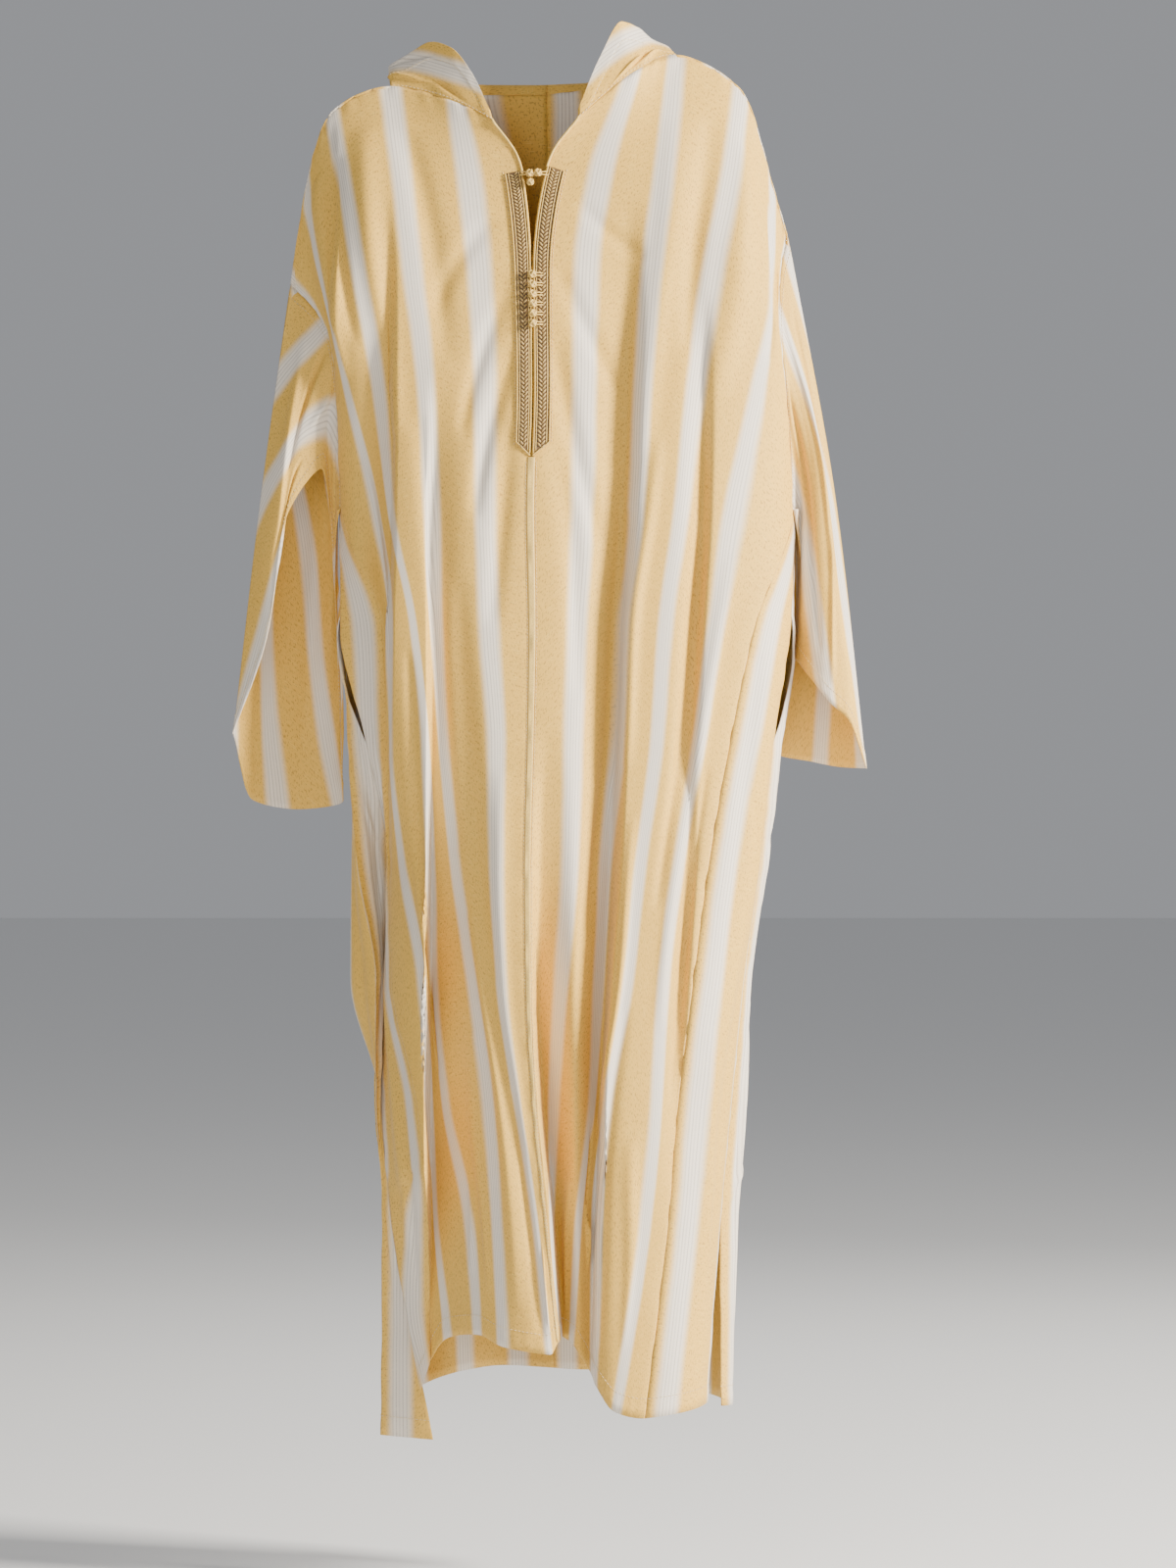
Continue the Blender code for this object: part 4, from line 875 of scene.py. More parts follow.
def mesh_piece(name, points, faces, finish, uv=None, smooth=None):
    """A mesh object from arrays of points and faces with the same number of corners."""
    smooth = np.ones(len(faces), bool) if smooth is None else smooth
    mesh = bpy.data.meshes.new(name)
    corners = faces.shape[1]
    mesh.vertices.add(len(points))
    mesh.vertices.foreach_set("co", points.astype(np.float32).ravel())
    mesh.loops.add(faces.size)
    mesh.loops.foreach_set("vertex_index", faces.astype(np.int32).ravel())
    mesh.polygons.add(len(faces))
    mesh.polygons.foreach_set("loop_start", np.arange(0, faces.size, corners, dtype=np.int32))
    mesh.polygons.foreach_set("loop_total", np.full(len(faces), corners, np.int32))
    mesh.polygons.foreach_set("use_smooth", smooth)
    mesh.update(calc_edges=True)
    if uv is not None:
        layer = mesh.uv_layers.new(name="cloth_cm")
        layer.data.foreach_set("uv", uv[faces.ravel()].astype(np.float32).ravel())
    mesh.validate()
    made = bpy.data.objects.new(name, mesh)
    bpy.context.scene.collection.objects.link(made)
    mesh.materials.append(finish)
    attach(made, "root")
    return made


def quads_of(rows, columns, wrap=False):
    """Faces of a grid, as rows of four point numbers. A wrapped grid closes round from its last
    column."""
    index = np.arange(rows * columns).reshape(rows, columns)
    if wrap:
        index = np.concatenate([index, index[:, :1]], 1)
    corners = (index[:-1, :-1], index[:-1, 1:], index[1:, 1:], index[1:, :-1])
    return np.stack(corners, -1).reshape(-1, 4)


def shell(name, outer, out, uv, thick=CLOTH_THICK, finish=None):
    """A thin closed shell: the outer grid, the same grid moved in by the cloth's thickness, and a
    flat rim."""
    inner = outer - out * thick * MM
    rows, columns = outer.shape[:2]
    far = rows * columns
    face = quads_of(rows, columns)
    index = np.arange(far).reshape(rows, columns)
    rim = [
        np.stack([edge[:-1], edge[1:], edge[1:] + far, edge[:-1] + far], -1)
        for edge in (index[0, ::-1], index[-1], index[:, 0], index[::-1, -1])
    ]
    faces = np.concatenate([face, face[:, ::-1] + far] + rim)
    points = np.concatenate([outer.reshape(-1, 3), inner.reshape(-1, 3)])
    flat = np.concatenate([uv.reshape(-1, 2)] * 2)
    a, b, c = (points[face[:, k]] for k in range(3))
    facing = np.cross(b - a, c - a) * out.reshape(-1, 3)[face[:, 0]]
    if facing.sum() < 0:
        faces = faces[:, ::-1]
    smooth = np.arange(len(faces)) < 2 * len(face)
    return mesh_piece(name, points, faces, finish or CLOTH, flat, smooth)


# A cord's last ring, as a share of its radius.
TUBE_END = 0.35


def tube(name, paths, radius, finish, sides=6):
    """Round cords along paths (an array of paths by points by 3), as one mesh with closed ends."""
    paths = np.asarray(paths, float)
    way = np.gradient(paths, axis=1)
    way /= np.maximum(np.linalg.norm(way, axis=-1, keepdims=True), 1e-12)
    side = np.cross(way, np.array([0.13, -0.97, 0.21]))
    side /= np.maximum(np.linalg.norm(side, axis=-1, keepdims=True), 1e-12)
    up = np.cross(side, way)
    angle = np.linspace(0, 2 * np.pi, sides, endpoint=False)
    round_it = np.cos(angle)[:, None] * side[:, :, None] + np.sin(angle)[:, None] * up[:, :, None]
    shrink = np.ones(paths.shape[1])
    shrink[[0, -1]] = TUBE_END
    points = paths[:, :, None] + round_it * (np.asarray(radius) * MM * shrink)[None, :, None, None]
    count, length = paths.shape[:2]
    face = quads_of(length, sides, True)
    faces = (face[None] + (np.arange(count) * length * sides)[:, None, None]).reshape(-1, 4)
    ends = np.arange(sides).reshape(1, -1)
    fans = []
    for first in (0, (length - 1) * sides):
        ring = ends[:, ::-1] if first == 0 else ends
        for k in range(1, sides - 2, 2):
            fans.append(ring[:, [0, k, k + 1, k + 2]] + first)
    fans = np.concatenate(fans)
    caps = (fans[None] + (np.arange(count) * length * sides)[:, None, None]).reshape(-1, 4)
    return mesh_piece(name, points.reshape(-1, 3), np.concatenate([faces, caps])[:, ::-1], finish)


def walk(points, step):
    """Places and ways along a path at even steps: arrays of positions and unit tangents."""
    reached = np.concatenate([[0], np.cumsum(np.linalg.norm(np.diff(points, axis=0), axis=1))])
    at = np.arange(step / 2, reached[-1], step)
    place = np.stack([np.interp(at, reached, points[:, k]) for k in range(3)], -1)
    way = np.gradient(place, axis=0)
    return place, way / np.linalg.norm(way, axis=1, keepdims=True)


# How far a stitch's ends and middle stand off the cloth, in mm.
STITCH_ENDS = 0.05
STITCH_BOW = 0.32


def stitches(path, out, length=3.0, pitch=4.2):
    """Short threads in a row along a path, each bowed out of the cloth. Sizes are in mm."""
    place, way = walk(path, pitch * MM)
    near = np.argmin(np.linalg.norm(place[:, None] - path[None], axis=-1), axis=1)
    outward = out[near]
    t = np.linspace(-0.5, 0.5, 5)
    bow = STITCH_BOW * (1 - 4 * t**2) + STITCH_ENDS
    run = way[:, None] * (t * length * MM)[None, :, None]
    return place[:, None] + run + outward[:, None] * (bow * MM)[None, :, None]

# %% Shared edges and lengths
def down_lengths(points):
    """Length of cloth from the first row down to each point, in cm."""
    steps = np.linalg.norm(np.diff(points, axis=0), axis=-1) / CM
    return np.concatenate([np.zeros((1, points.shape[1])), np.cumsum(steps, axis=0)])


# Points nearer than this, in mm, are one place.
SAME_PLACE = 0.2


def shared_out(grids):
    """Points that two pieces share get the mean of their ways out, so that a seam stays closed when
    it moves."""
    rims = []
    for points, _ in grids:
        mask = np.zeros(points.shape[:2], bool)
        mask[[0, -1]] = True
        mask[:, [0, -1]] = True
        rims.append(mask)
    places = np.concatenate([points[mask] for (points, _), mask in zip(grids, rims)])
    ways = np.concatenate([out[mask] for (_, out), mask in zip(grids, rims)])
    _, group = np.unique(np.round(places / (SAME_PLACE * MM)), axis=0, return_inverse=True)
    total = np.zeros((group.max() + 1, 3))
    np.add.at(total, group.reshape(-1), ways)
    mean = total[group.reshape(-1)]
    mean = mean / np.maximum(np.linalg.norm(mean, axis=1, keepdims=True), 1e-9)
    parts = np.split(mean, np.cumsum([mask.sum() for mask in rims])[:-1])
    for (_, out), mask, part in zip(grids, rims, parts):
        out[mask] = part


SIDES = {-1: "right", 1: "left"}
# Cloth between two sections, and the depth of hems and cuffs, in cm.
SECTION_CM = 12.0
HEM_DEPTH = 2.1
CUFF_DEPTH = 1.7
SLEEVE_ROWS = 76
HOOD_ROWS = 97
below = BODY_ROWS[BODY_ROWS >= UNDERARM]
fine = BODY_ROWS[BODY_ROWS <= UNDERARM]
under = np.linspace(0, 0.5, 9)
# Lines round a sleeve, by their distance from the crest in sections of the armhole.
AROUND = np.concatenate([-UNDERARM - under[:0:-1], -fine[::-1], fine[1:], UNDERARM + under[1:]])
stations = np.where(AROUND < 0, 2 * UNDERARM + 1 + AROUND, AROUND)
GRIDS = {}
for side, word in SIDES.items():
    for name, points, flip in (
        ("front_", front_panel(side, PANEL_LINES, BODY_ROWS), side),
        ("back_", back_panel(side, BACK_PANEL_LINES, BODY_ROWS), -side),
        ("front_gore_", gore(front_panel, side, GORE_LINES, below), side),
        ("back_gore_", gore(back_panel, side, GORE_LINES, below), -side),
        ("sleeve_", sleeve(side, stations, np.linspace(0, 1, SLEEVE_ROWS)), -side),
        ("hood_", hood(side, HOOD_ROWS), -side),
    ):
        GRIDS[name + word] = (points, directions(points) * flip)
shared_out(list(GRIDS.values()))
print({name: points.shape[:2] for name, (points, _) in GRIDS.items()})

# %% [markdown]
# Panels, gores, sleeves and hood
#
# Every piece gets its own creases, a slight pucker at its sewn edges and a thicker turned hem at
# its free ones. The creases die out over the last centimetre before a seam, so that two pieces
# still meet there.

# %% Cloth pieces
SURFACES = {}
# Creases die out over this much cloth before a seam, in cm.
FADE_CM = 0.8


def lengths(name):
    """Length of cloth down to each point of a piece, and on from it to the free end, in cm."""
    length = down_lengths(GRIDS[name][0])
    return length, length[-1] - length


def moved(height, inside, seams, hem):
    """How far the cloth moves out: its creases, times 1 - exp(-(distance / 0.8 cm)^2) near a seam,
    a pucker for each seam, and the hem."""
    move = height * (1 - np.exp(-((inside / FADE_CM) ** 2)))
    for seam in seams:
        move = move + pucker(*seam)
    return move + hem_step(*hem)


def cloth_piece(name, move, uv):
    """The shell of one piece: its grid moved out. It stands in for its node."""
    points, out = GRIDS[name]
    outer = points + out * move[..., None]
    made = shell(name + "_cloth", outer, out, np.stack(uv, -1))
    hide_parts(name)
    SURFACES[name] = (outer, out)


# How far the stripes are shifted on the right and left half of the front and the back, in cm.
STRIPE_SHIFT = {"front_": (0.0, 0.0), "back_": (0.5, 3.1)}
# Over the drop of the shoulder they spread by this much between these lines, down to a section.
SHOULDER_SHIFT = 1.8
SHOULDER_LINES = (27.5, 33.5)
SHOULDER_END = 2.4
# The stripes' place at a gore's seam.
GORE_STRIPE = GORE_SEAM - 0.7
along = BODY_ROWS[:, None] * SECTION_CM
gore_along = below[:, None] * SECTION_CM
across_gore = GORE_LINES[None, :]
for side, word in SIDES.items():
    for panel, lines, creases, seed in (
        ("front_", PANEL_LINES, FRONT_CREASES, 1.0),
        ("back_", BACK_PANEL_LINES, BACK_CREASES, 2.6),
    ):
        name = panel + word
        across = lines[None, :]
        length, to_hem = lengths(name)
        from_gore = GORE_SEAM - across
        height = crease_height(scaled(creases[side], 1, SECTION_CM), across, along)
        seams = (
            (across, along, seed + side),
            (from_gore, along, seed - side),
            (length, across * 1.7, seed),
        )
        inside = np.minimum(np.minimum(across, from_gore), length)
        move = moved(height, inside, seams, (to_hem, HEM_DEPTH, seed, across))
        shift = STRIPE_SHIFT[panel][side > 0]
        drop = 1 - ease(BODY_ROWS[:, None] - SHOULDER_END)
        widen = SHOULDER_SHIFT * ease_between(SHOULDER_LINES, across) * drop
        cloth_piece(name, move, (across + shift + widen, length))
    for panel, seed in (("front_gore_", 3.3), ("back_gore_", 4.9)):
        name = panel + word
        length, to_hem = lengths(name)
        wide = down_lengths(GRIDS[name][0].swapaxes(0, 1)).T
        inside = np.minimum(wide, wide[:, -1:] - wide)
        table = scaled(GORE_CREASES, 1, SECTION_CM)
        creases = [(*ends, width, side * high, bow) for *ends, width, high, bow in table]
        height = crease_height(creases, across_gore, gore_along)
        seams = ((inside, gore_along, seed + side),)
        move = moved(height, inside * 1.4, seams, (to_hem, HEM_DEPTH, seed, across_gore))
        uv = (GORE_STRIPE + wide, length + UNDERARM * SECTION_CM)
        cloth_piece(name, move, uv)

# %% [markdown]
# Stripes on a sleeve run askew. With u the way round from the crest and v the way down, the stripe
# place is u cos(a) + the sum of sin(a) along v. The angle a goes from the upper arm's to the
# cuff's.

# %% Sleeves and hood
# For each side, the angle on the upper arm and at the cuff in degrees, and where the stripes start
# in cm.
SLEEVE_ANGLES = {-1: (38.0, 16.0, -1.6), 1: (12.0, 9.0, 3.6)}
# The angle turns over this much cloth, in cm, after as much again.
ANGLE_TURN = 16.0
# Cloth for each line round a sleeve, the length of a sleeve, and the hood's height and half its
# neck, in cm.
ROUND_CM = {-1: 5.2, 1: 4.3}
SLEEVE_CM = 44.0
HOOD_CM = 60.0
HOOD_MIDDLE = 25.0
# Lines round a sleeve.
LINES_ROUND = 9
# Where a stripe of the hood lies, in cm above the neck seam.
HOOD_STRIPE = 1.6
sleeve_share = np.linspace(0, 1, SLEEVE_ROWS)[:, None] * SLEEVE_CM
hood_share = np.linspace(0, 1, HOOD_ROWS)[:, None] * HOOD_CM
for side, word in SIDES.items():
    name = "sleeve_" + word
    length, to_cuff = lengths(name)
    round_cm = ROUND_CM[side]
    across = (AROUND * round_cm)[None, :]
    creases = scaled(SLEEVE_CREASES[side], round_cm, SLEEVE_CM)
    whole = LINES_ROUND * round_cm
    height = sum(crease_height(creases, across + turn, sleeve_share) for turn in (0, whole))
    inside = np.minimum(whole / 2 - np.abs(across), length)
    hem = (to_cuff, CUFF_DEPTH, 1.9, across)
    move = moved(height, inside, ((length, across, 5.0 + side),), hem)
    first, last, start = SLEEVE_ANGLES[side]
    angle = np.radians(first + (last - first) * ease((length - ANGLE_TURN) / ANGLE_TURN))
    run = np.cumsum(np.sin(angle) * np.gradient(length, axis=0), axis=0)
    uv = (across * np.cos(angle) + run + start, length)
    cloth_piece(name, move, uv)

    name = "hood_" + word
    length, to_rim = lengths(name)
    round_neck = neck_edge(side)[1][None, :]
    from_middle = HOOD_MIDDLE - round_neck
    height = crease_height(scaled(HOOD_CREASES[side], 1.0, HOOD_CM), round_neck, hood_share)
    inside = np.minimum(np.minimum(round_neck, from_middle) + 0.3, length)
    seams = ((length, round_neck, 6.0), (from_middle, hood_share, 7.0 + side))
    move = moved(height, inside, seams, (to_rim, HEM_DEPTH, 2.2, round_neck))
    uv = (length + HOOD_STRIPE, round_neck + 0 * length)
    cloth_piece(name, move, uv)
print("cloth pieces", len(SURFACES))

# %% [markdown]
# Trim on the front
#
# What lies on the front takes its places from the front's own surface: a place is a distance from
# the centre seam, a section and a lift off the cloth. So braid, cord and stitches follow every
# fold.

# %% Places on a piece
def on_piece(name, lines, rows, c, r, lift):
    """Points on a piece's surface at lines c and sections r, between its grid's points, lifted in
    mm."""
    outer, out = SURFACES[name]
    x = np.interp(c, lines, np.arange(len(lines)))
    y = np.interp(r, rows, np.arange(len(rows)))
    i = np.clip(np.floor(y).astype(int), 0, len(rows) - 2)
    j = np.clip(np.floor(x).astype(int), 0, len(lines) - 2)
    fy, fx = (y - i)[..., None], (x - j)[..., None]
    result = []
    for grid in (outer, out):
        top = grid[i, j] * (1 - fx) + grid[i, j + 1] * fx
        low = grid[i + 1, j] * (1 - fx) + grid[i + 1, j + 1] * fx
        result.append(top * (1 - fy) + low * fy)
    place, way = result
    way = way / np.linalg.norm(way, axis=-1, keepdims=True)
    return place + way * (np.asarray(lift) * MM)[..., None], way


def on_front(side, c, r, lift):
    """The same on a front half."""
    c, r, lift = np.broadcast_arrays(*(np.asarray(value, float) for value in (c, r, lift)))
    return on_piece("front_" + SIDES[side], PANEL_LINES, BODY_ROWS, c, r, lift)


# A strand's radius as a share of its cord's, and the steps along it in one turn.
STRAND_SHARE = 0.62
STEPS_A_TURN = 7


def rope(name, paths, radius, pitch, finish):
    """Two-ply cords: round each path two strands turn, half the radius off it, once each pitch
    (mm)."""
    strands = []
    for path in paths:
        place, way = walk(path, pitch * MM / STEPS_A_TURN)
        side = np.cross(way, np.array([0.13, -0.97, 0.21]))
        side /= np.linalg.norm(side, axis=1, keepdims=True)
        up = np.cross(side, way)
        turn = np.arange(len(place)) * 2 * np.pi / STEPS_A_TURN
        for phase in (0, np.pi):
            angle = (turn + phase)[:, None]
            strands.append(place + (np.cos(angle) * side + np.sin(angle) * up) * radius * 0.5 * MM)
    thick = radius * STRAND_SHARE
    return [tube(name + "_%d" % k, [line], thick, finish) for k, line in enumerate(strands)]


def trim(made):
    """Gives the pieces back as they are."""
    return made


# %% [markdown]
# Braid bands
#
# Each band is a flat strip with a two-ply cord at each edge, a thin cord inside each, and a plait
# between: two rows of short slanted strands that meet in the middle like a row of arrow heads.
# Modelled strands catch the light as the real braid does, which a bumped strip would not.

# %% Braid bands
# Sections at a band's start, its end and its tip, then distances from the centre seam in cm.
BAND_ROWS = (1.04, 3.46)
BAND_TIP = 3.575
BAND_EDGES = (0.14, 1.58)
THIN_CORDS = (0.36, 1.32)
PLAIT_MIDDLE = 0.84
PLAIT_HALF = 0.37
# How far a strand of the plait runs down and how far on the next one starts, in sections.
PLAIT_RISE = 0.038
PLAIT_PITCH = 0.036
# Lifts off the cloth and radii in mm. A strand is thickest in its middle.
BASE_LIFT = 1.15
CORD_LIFT = 1.5
PLAIT_LIFT = 1.35
PLAIT_ARCH = 0.45
PLAIT_RADII = np.array([0.6, 1.0, 1.15, 1.0, 0.6]) * 0.84
EDGE_CORD, EDGE_PITCH = 0.85, 3.2
THIN_CORD = 0.5
BASE_THICK = 0.9
for side, word in SIDES.items():
    rows = np.linspace(*BAND_ROWS, 160)
    c = np.linspace(*BAND_EDGES, 7)
    tip = (BAND_TIP - BAND_ROWS[1]) * (1 - c / c[-1])
    r = BAND_ROWS[0] + (rows[:, None] - BAND_ROWS[0]) * (1 + tip / (BAND_ROWS[1] - BAND_ROWS[0]))
    place, way = on_front(side, c[None, :], r, BASE_LIFT)
    uv = np.stack([c[None, :] + 0 * r, r * SECTION_CM], -1)
    band = trim(shell("braid_base_" + word, place, way, uv, BASE_THICK, GROUND_BRAID))
    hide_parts("braid_band_" + word)
    edge_r = np.concatenate([rows, np.linspace(BAND_ROWS[1], BAND_TIP, 24)[1:]])
    point = np.linspace(BAND_EDGES[1], 0.05, 24)[1:]
    edge_c = np.concatenate([np.full(len(rows), BAND_EDGES[1]), point])
    outer_edge = on_front(side, edge_c, edge_r, CORD_LIFT)[0]
    inner_rows = np.linspace(BAND_ROWS[0], BAND_TIP - 0.02, 170)
    inner_edge = on_front(side, BAND_EDGES[0], inner_rows, CORD_LIFT)[0]
    trim(rope("braid_edge_" + word, [outer_edge, inner_edge], EDGE_CORD, EDGE_PITCH, PALE))
    thin = []
    for line in THIN_CORDS:
        rows = np.linspace(BAND_ROWS[0], BAND_TIP - 0.015 - 0.07 * line, 150)
        thin.append(on_front(side, line, rows, CORD_LIFT)[0])
    trim(tube("braid_thin_" + word, thin, THIN_CORD, PALE))
    starts = np.arange(BAND_ROWS[0] + 0.01, BAND_TIP - 0.1, PLAIT_PITCH)
    t = np.linspace(0, 1, 5)[None, :]
    strands = []
    for way_in in (-1, 1):
        c = PLAIT_MIDDLE + way_in * PLAIT_HALF * (1 - t)
        r = starts[:, None] + PLAIT_RISE * t + (0.5 * PLAIT_PITCH if way_in > 0 else 0)
        strands.append(on_front(side, c, r, PLAIT_LIFT + PLAIT_ARCH * np.sin(np.pi * t))[0])
    trim(tube("braid_plait_" + word, np.concatenate(strands), PLAIT_RADII, GOLD))
print("strands in a plait", 2 * len(starts))

# %% [markdown]
# Knots, loops and neck edge
#
# Each button is a knot of round cord: one strand that goes three times round a ball while it swings
# four times between its poles. Loops from the other band reach under them. The column of six stays
# fastened as shown.

# %% Knots and loops
# Levels of the six knots, their radius and how far they stand off the bands, in mm.
KNOT_DOWN = 285.0 + 10.0 * np.arange(6)
KNOT_SIZE = 4.5
KNOT_LIFT = 4.4
# The loops: where they are sewn down, in cm from the centre, then half the gap between their two
# strands, how far they bow out and their radius in mm.
LOOP_END = 0.95
LOOP_HALF = 1.3
LOOP_BOW = 1.2
LOOP_RADIUS = 0.62
# The neck closure: its level, how far it stands off, and half the length and radius of its bar.
CLOSURE_DOWN = 182.0
CLOSURE_LIFT = 4.2
BAR_HALF = 14.5
BAR_RADIUS = 0.7
# The cord's radius and the core's, as shares of the knot's.
CORD_SHARE = 0.235
CORE_SHARE = 0.72
# How far the bands' faces stand off the cloth, in mm.
BAND_FACE = 2.6


def row_of(side, down):
    """The section at which the centre line is this far down."""
    reached = ORIGIN_DOWN - SURFACES["front_" + SIDES[side]][0][:, 0, 2] / MM
    return np.interp(down, reached, BODY_ROWS)


def knot_path(centre, size, tilt):
    """The knot's strand: angle round = 3 t, height = 0.92 sin(4 t), on a ball whose radius swings
    by a tenth."""
    t = np.linspace(0, 2 * np.pi, 97)
    height = 0.92 * np.sin(4 * t + tilt)
    radius = size * (0.76 + 0.1 * np.sin(8 * t + 2 * tilt))
    turn, level = 3 * t + tilt, np.sqrt(1 - height**2) * radius
    ball = np.stack([np.cos(turn) * level, np.sin(turn) * level, height * radius], -1)
    return centre + ball * MM


def opening_place(down, lift):
    """The middle of the opening at a level, lifted in front of the bands."""
    both = [on_front(side, 0.0, row_of(side, down), 0.0)[0] for side in SIDES]
    middle = (both[0] + both[1]) / 2
    middle[1] = min(both[0][1], both[1][1]) - lift * MM
    return middle


def make_knot(name, centre, size, tilt, node):
    """A knot: a core ball hidden by its strand."""
    strand = tube(name, [knot_path(centre, size, tilt)], size * CORD_SHARE, PALE)
    u = np.linspace(0.12, np.pi - 0.12, 9)[:, None]
    v = np.linspace(0, 2 * np.pi, 13)[None, :]
    ball = np.stack([np.sin(u) * np.cos(v), np.sin(u) * np.sin(v), np.cos(u) + 0 * v], -1)
    ball = ball * size * CORE_SHARE * MM
    out = ball / np.linalg.norm(ball, axis=-1, keepdims=True)
    core = shell(name + "_core", centre + ball, out, ball[..., :2], thick=0.6, finish=GOLD)
    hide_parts(node)
    trim([strand, core])


loops = []
for k, down in enumerate(KNOT_DOWN):
    centre = opening_place(down, BAND_FACE + KNOT_LIFT)
    make_knot("knot_cord_%d" % (k + 1), centre, KNOT_SIZE, 0.9 * k, "knot_%d" % (k + 1))
    reach = np.linspace(0, 1, 14)
    for level in (-LOOP_HALF, LOOP_HALF):
        row = row_of(1, down + level)
        end = on_front(1, LOOP_END, row, BAND_FACE)[0]
        start = centre + np.array([0, 0.5 * MM, -level * MM])
        bent = start + (end - start) * reach[:, None]
        bent[:, 1] -= LOOP_BOW * MM * np.sin(np.pi * reach)
        loops.append(bent)
trim(tube("knot_loops", loops, LOOP_RADIUS, PALE))
closure = opening_place(CLOSURE_DOWN, BAND_FACE + CLOSURE_LIFT)
make_knot("neck_knot_a", closure + np.array([-3.9, 0, 0]) * MM, 4.3, 0.4, "neck_closure")
make_knot("neck_knot_b", closure + np.array([4.1, 0, 0.6]) * MM, 4.3, 1.9, "neck_closure")
make_knot("neck_knot_c", closure + np.array([-3.6, 0, -8.9]) * MM, 4.0, 3.1, "neck_closure_knot")
reach = np.linspace(-1, 1, 30)[:, None]
bar = []
for level in (-0.8, 0.8):
    across, back, up = BAR_HALF * reach, 2.0 * reach**2, level * (1 + 1.6 * reach**2)
    bar.append(closure + np.concatenate([across, back, up], 1) * MM)
trim(tube("neck_loops", bar, BAR_RADIUS, PALE))

# %% [markdown]
# Piping and stitching
#
# The centre seam is covered by a narrow tuck with a pale rounded face. Hems and cuffs are sewn with
# single threads 3 mm long, each a small bowed cord that dips into the groove of its hem.

# %% Piping and stitches
# The tuck: half its width in cm, how high its edges and its crown stand in mm, and how round it
# is. It goes from the bands' tips to the hem.
TUCK_HALF = 0.33
TUCK_EDGE = 0.25
TUCK_CROWN = 1.15
TUCK_ROUND = 0.6
rows = np.linspace(BAND_TIP + 0.01, HEM - 0.02, 420)
place, way = [], []
for k in np.linspace(0, np.pi, 9):
    side = 1 if np.cos(k) >= 0 else -1
    lift = TUCK_EDGE + TUCK_CROWN * np.sin(k) ** TUCK_ROUND
    points, out = on_front(side, abs(TUCK_HALF * np.cos(k)), rows, lift)
    place.append(points)
    way.append(out)
place, way = np.stack(place, 1), np.stack(way, 1)
uv = np.stack([BAND_MIDDLE + 0 * place[..., 0], rows[:, None] * SECTION_CM + 0 * place[..., 0]], -1)
piping = shell("centre_tuck", place, way, uv, thick=0.5, finish=PALE)
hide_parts("centre_piping")

# Seams sewn on the front: distance from the centre in cm, first and last section.
FRONT_SEAMS = ((1.78, 1.0, 3.47), (0.48, 3.62, 10.95))
THREAD_RADIUS = 0.3
seams = {}
for name, (outer, out) in SURFACES.items():
    length = down_lengths(outer)
    to_end = length[-1] - length
    depth = (CUFF_DEPTH if name.startswith("sleeve") else HEM_DEPTH) - HEM_EDGE
    columns = np.arange(outer.shape[1])
    order = np.arange(len(outer))[::-1]
    rows_at = np.array([np.interp(depth, to_end[::-1, k], order) for k in columns])
    low = np.clip(rows_at.astype(int), 0, len(outer) - 2)
    part = (rows_at - low)[:, None]
    path = outer[low, columns] * (1 - part) + outer[low + 1, columns] * part
    seams.setdefault("hem_stitches", []).append(stitches(path, out[low, columns]))
    if name.startswith("front_") and "gore" not in name:
        side = -1 if name.endswith("right") else 1
        for line, first, last in FRONT_SEAMS:
            r = np.linspace(first, last, 400)
            points, facing = on_front(side, line, r, 0.05)
            seams.setdefault("front_stitches", []).append(stitches(points, facing, 2.6, 3.6))
    if name.startswith("hood"):
        seams.setdefault("hood_stitches", []).append(stitches(outer[4], out[4], 3.2, 4.4))
    if name.startswith("sleeve"):
        seams.setdefault("shoulder_stitches", []).append(stitches(outer[2], out[2], 2.8, 3.8))
for name, groups in seams.items():
    trim(tube(name, np.concatenate(groups), THREAD_RADIUS, SEWING, 4))
print({name: sum(len(group) for group in groups) for name, groups in seams.items()})

neck = []
for side in SIDES:
    neck.append(on_front(side, 0.06, np.linspace(0.0, 1.06, 120), 0.9)[0])
trim(tube("neck_binding", neck, 1.35, PALE, 8))

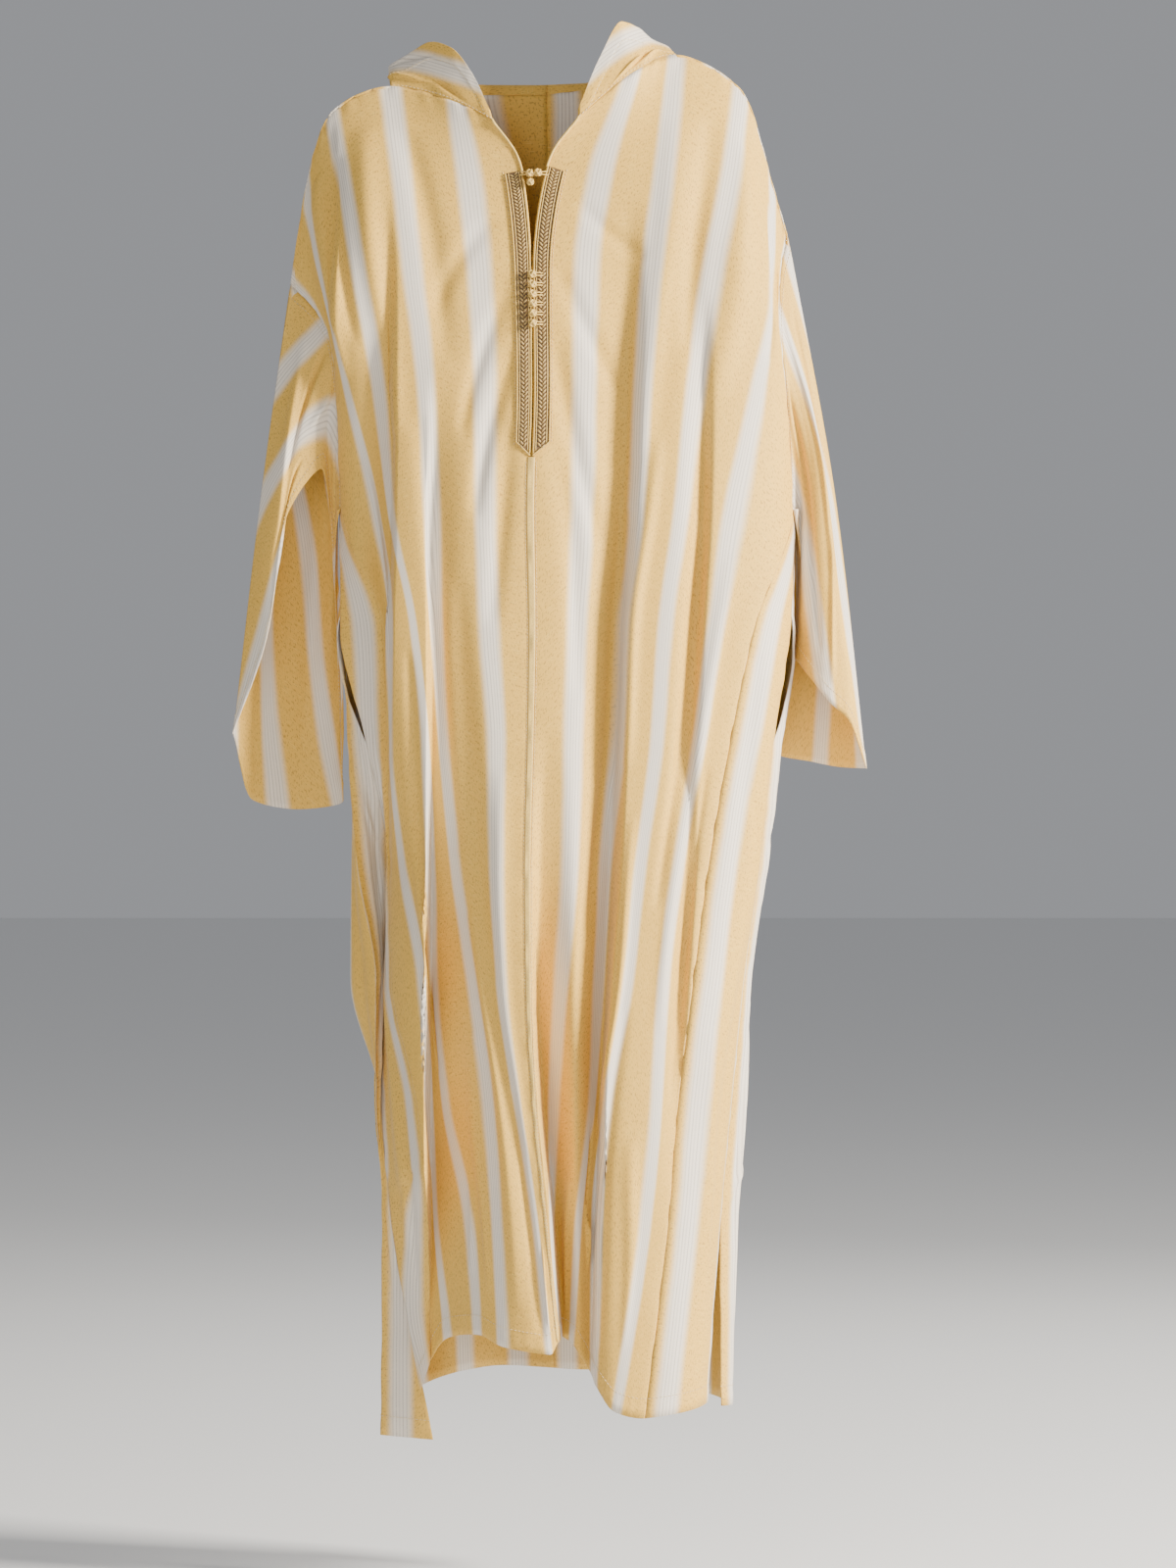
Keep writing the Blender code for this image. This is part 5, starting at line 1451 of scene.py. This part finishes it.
# %% [markdown]
# Light, floor and camera
#
# The robe hangs above a plain pale floor. A broad soft light stands to the right in front, as in
# the picture, a weak one fills from the left, and the camera is far off and level with the middle.

# %% Light, floor and camera
def area_light(name, place, aim, size, power, colour):
    """A square light that faces a point."""
    lamp = bpy.data.lights.new(name, "AREA")
    lamp.size, lamp.energy, lamp.color = size, power, colour
    made = bpy.data.objects.new(name, lamp)
    made.location = place
    away = Vector(place) - Vector(aim)
    made.rotation_euler = away.to_track_quat("Z", "Y").to_euler()
    bpy.context.scene.collection.objects.link(made)


area_light("key", (4.0, -1.9, 0.9), (0, 0, -0.7), 1.0, 760.0, (1.0, 0.95, 0.87))
area_light("fill", (-1.5, -5.0, 0.6), (0, 0, -0.7), 2.6, 70.0, (0.96, 0.98, 1.0))
area_light("rim", (1.2, 2.8, 1.2), (0, 0, -0.5), 2.0, 40.0, (1.0, 0.97, 0.92))
world = bpy.data.worlds.new("pale_studio")
world.use_nodes = True
background = world.node_tree.nodes["Background"]
background.inputs["Color"].default_value = (0.93, 0.95, 1.0, 1.0)
background.inputs["Strength"].default_value = 0.34
bpy.context.scene.world = world

# Half the floor's side and its level, in metres.
FLOOR_HALF, FLOOR_LEVEL = 30, -1.52
floor_mesh = bpy.data.meshes.new("floor")
corners = ((-1, -1), (1, -1), (1, 1), (-1, 1))
corners = [(x * FLOOR_HALF, y * FLOOR_HALF, FLOOR_LEVEL) for x, y in corners]
floor_mesh.from_pydata(corners, [], [(0, 1, 2, 3)])
floor = bpy.data.objects.new("floor", floor_mesh)
bpy.context.scene.collection.objects.link(floor)
floor_made, _, floor_shader = shader_of("pale_floor", 0.9, 0.0)
floor_shader.inputs["Base Color"].default_value = (0.85, 0.85, 0.84, 1.0)
floor_mesh.materials.append(floor_made)

camera_data = bpy.data.cameras.new("camera")
camera_data.sensor_width = 24.0
camera_data.lens = 90.0
camera = bpy.data.objects.new("camera", camera_data)
camera.location = (0.05, -6.0, -0.70)
camera.rotation_euler = (np.pi / 2, 0, 0)
bpy.context.scene.collection.objects.link(camera)
bpy.context.scene.camera = camera
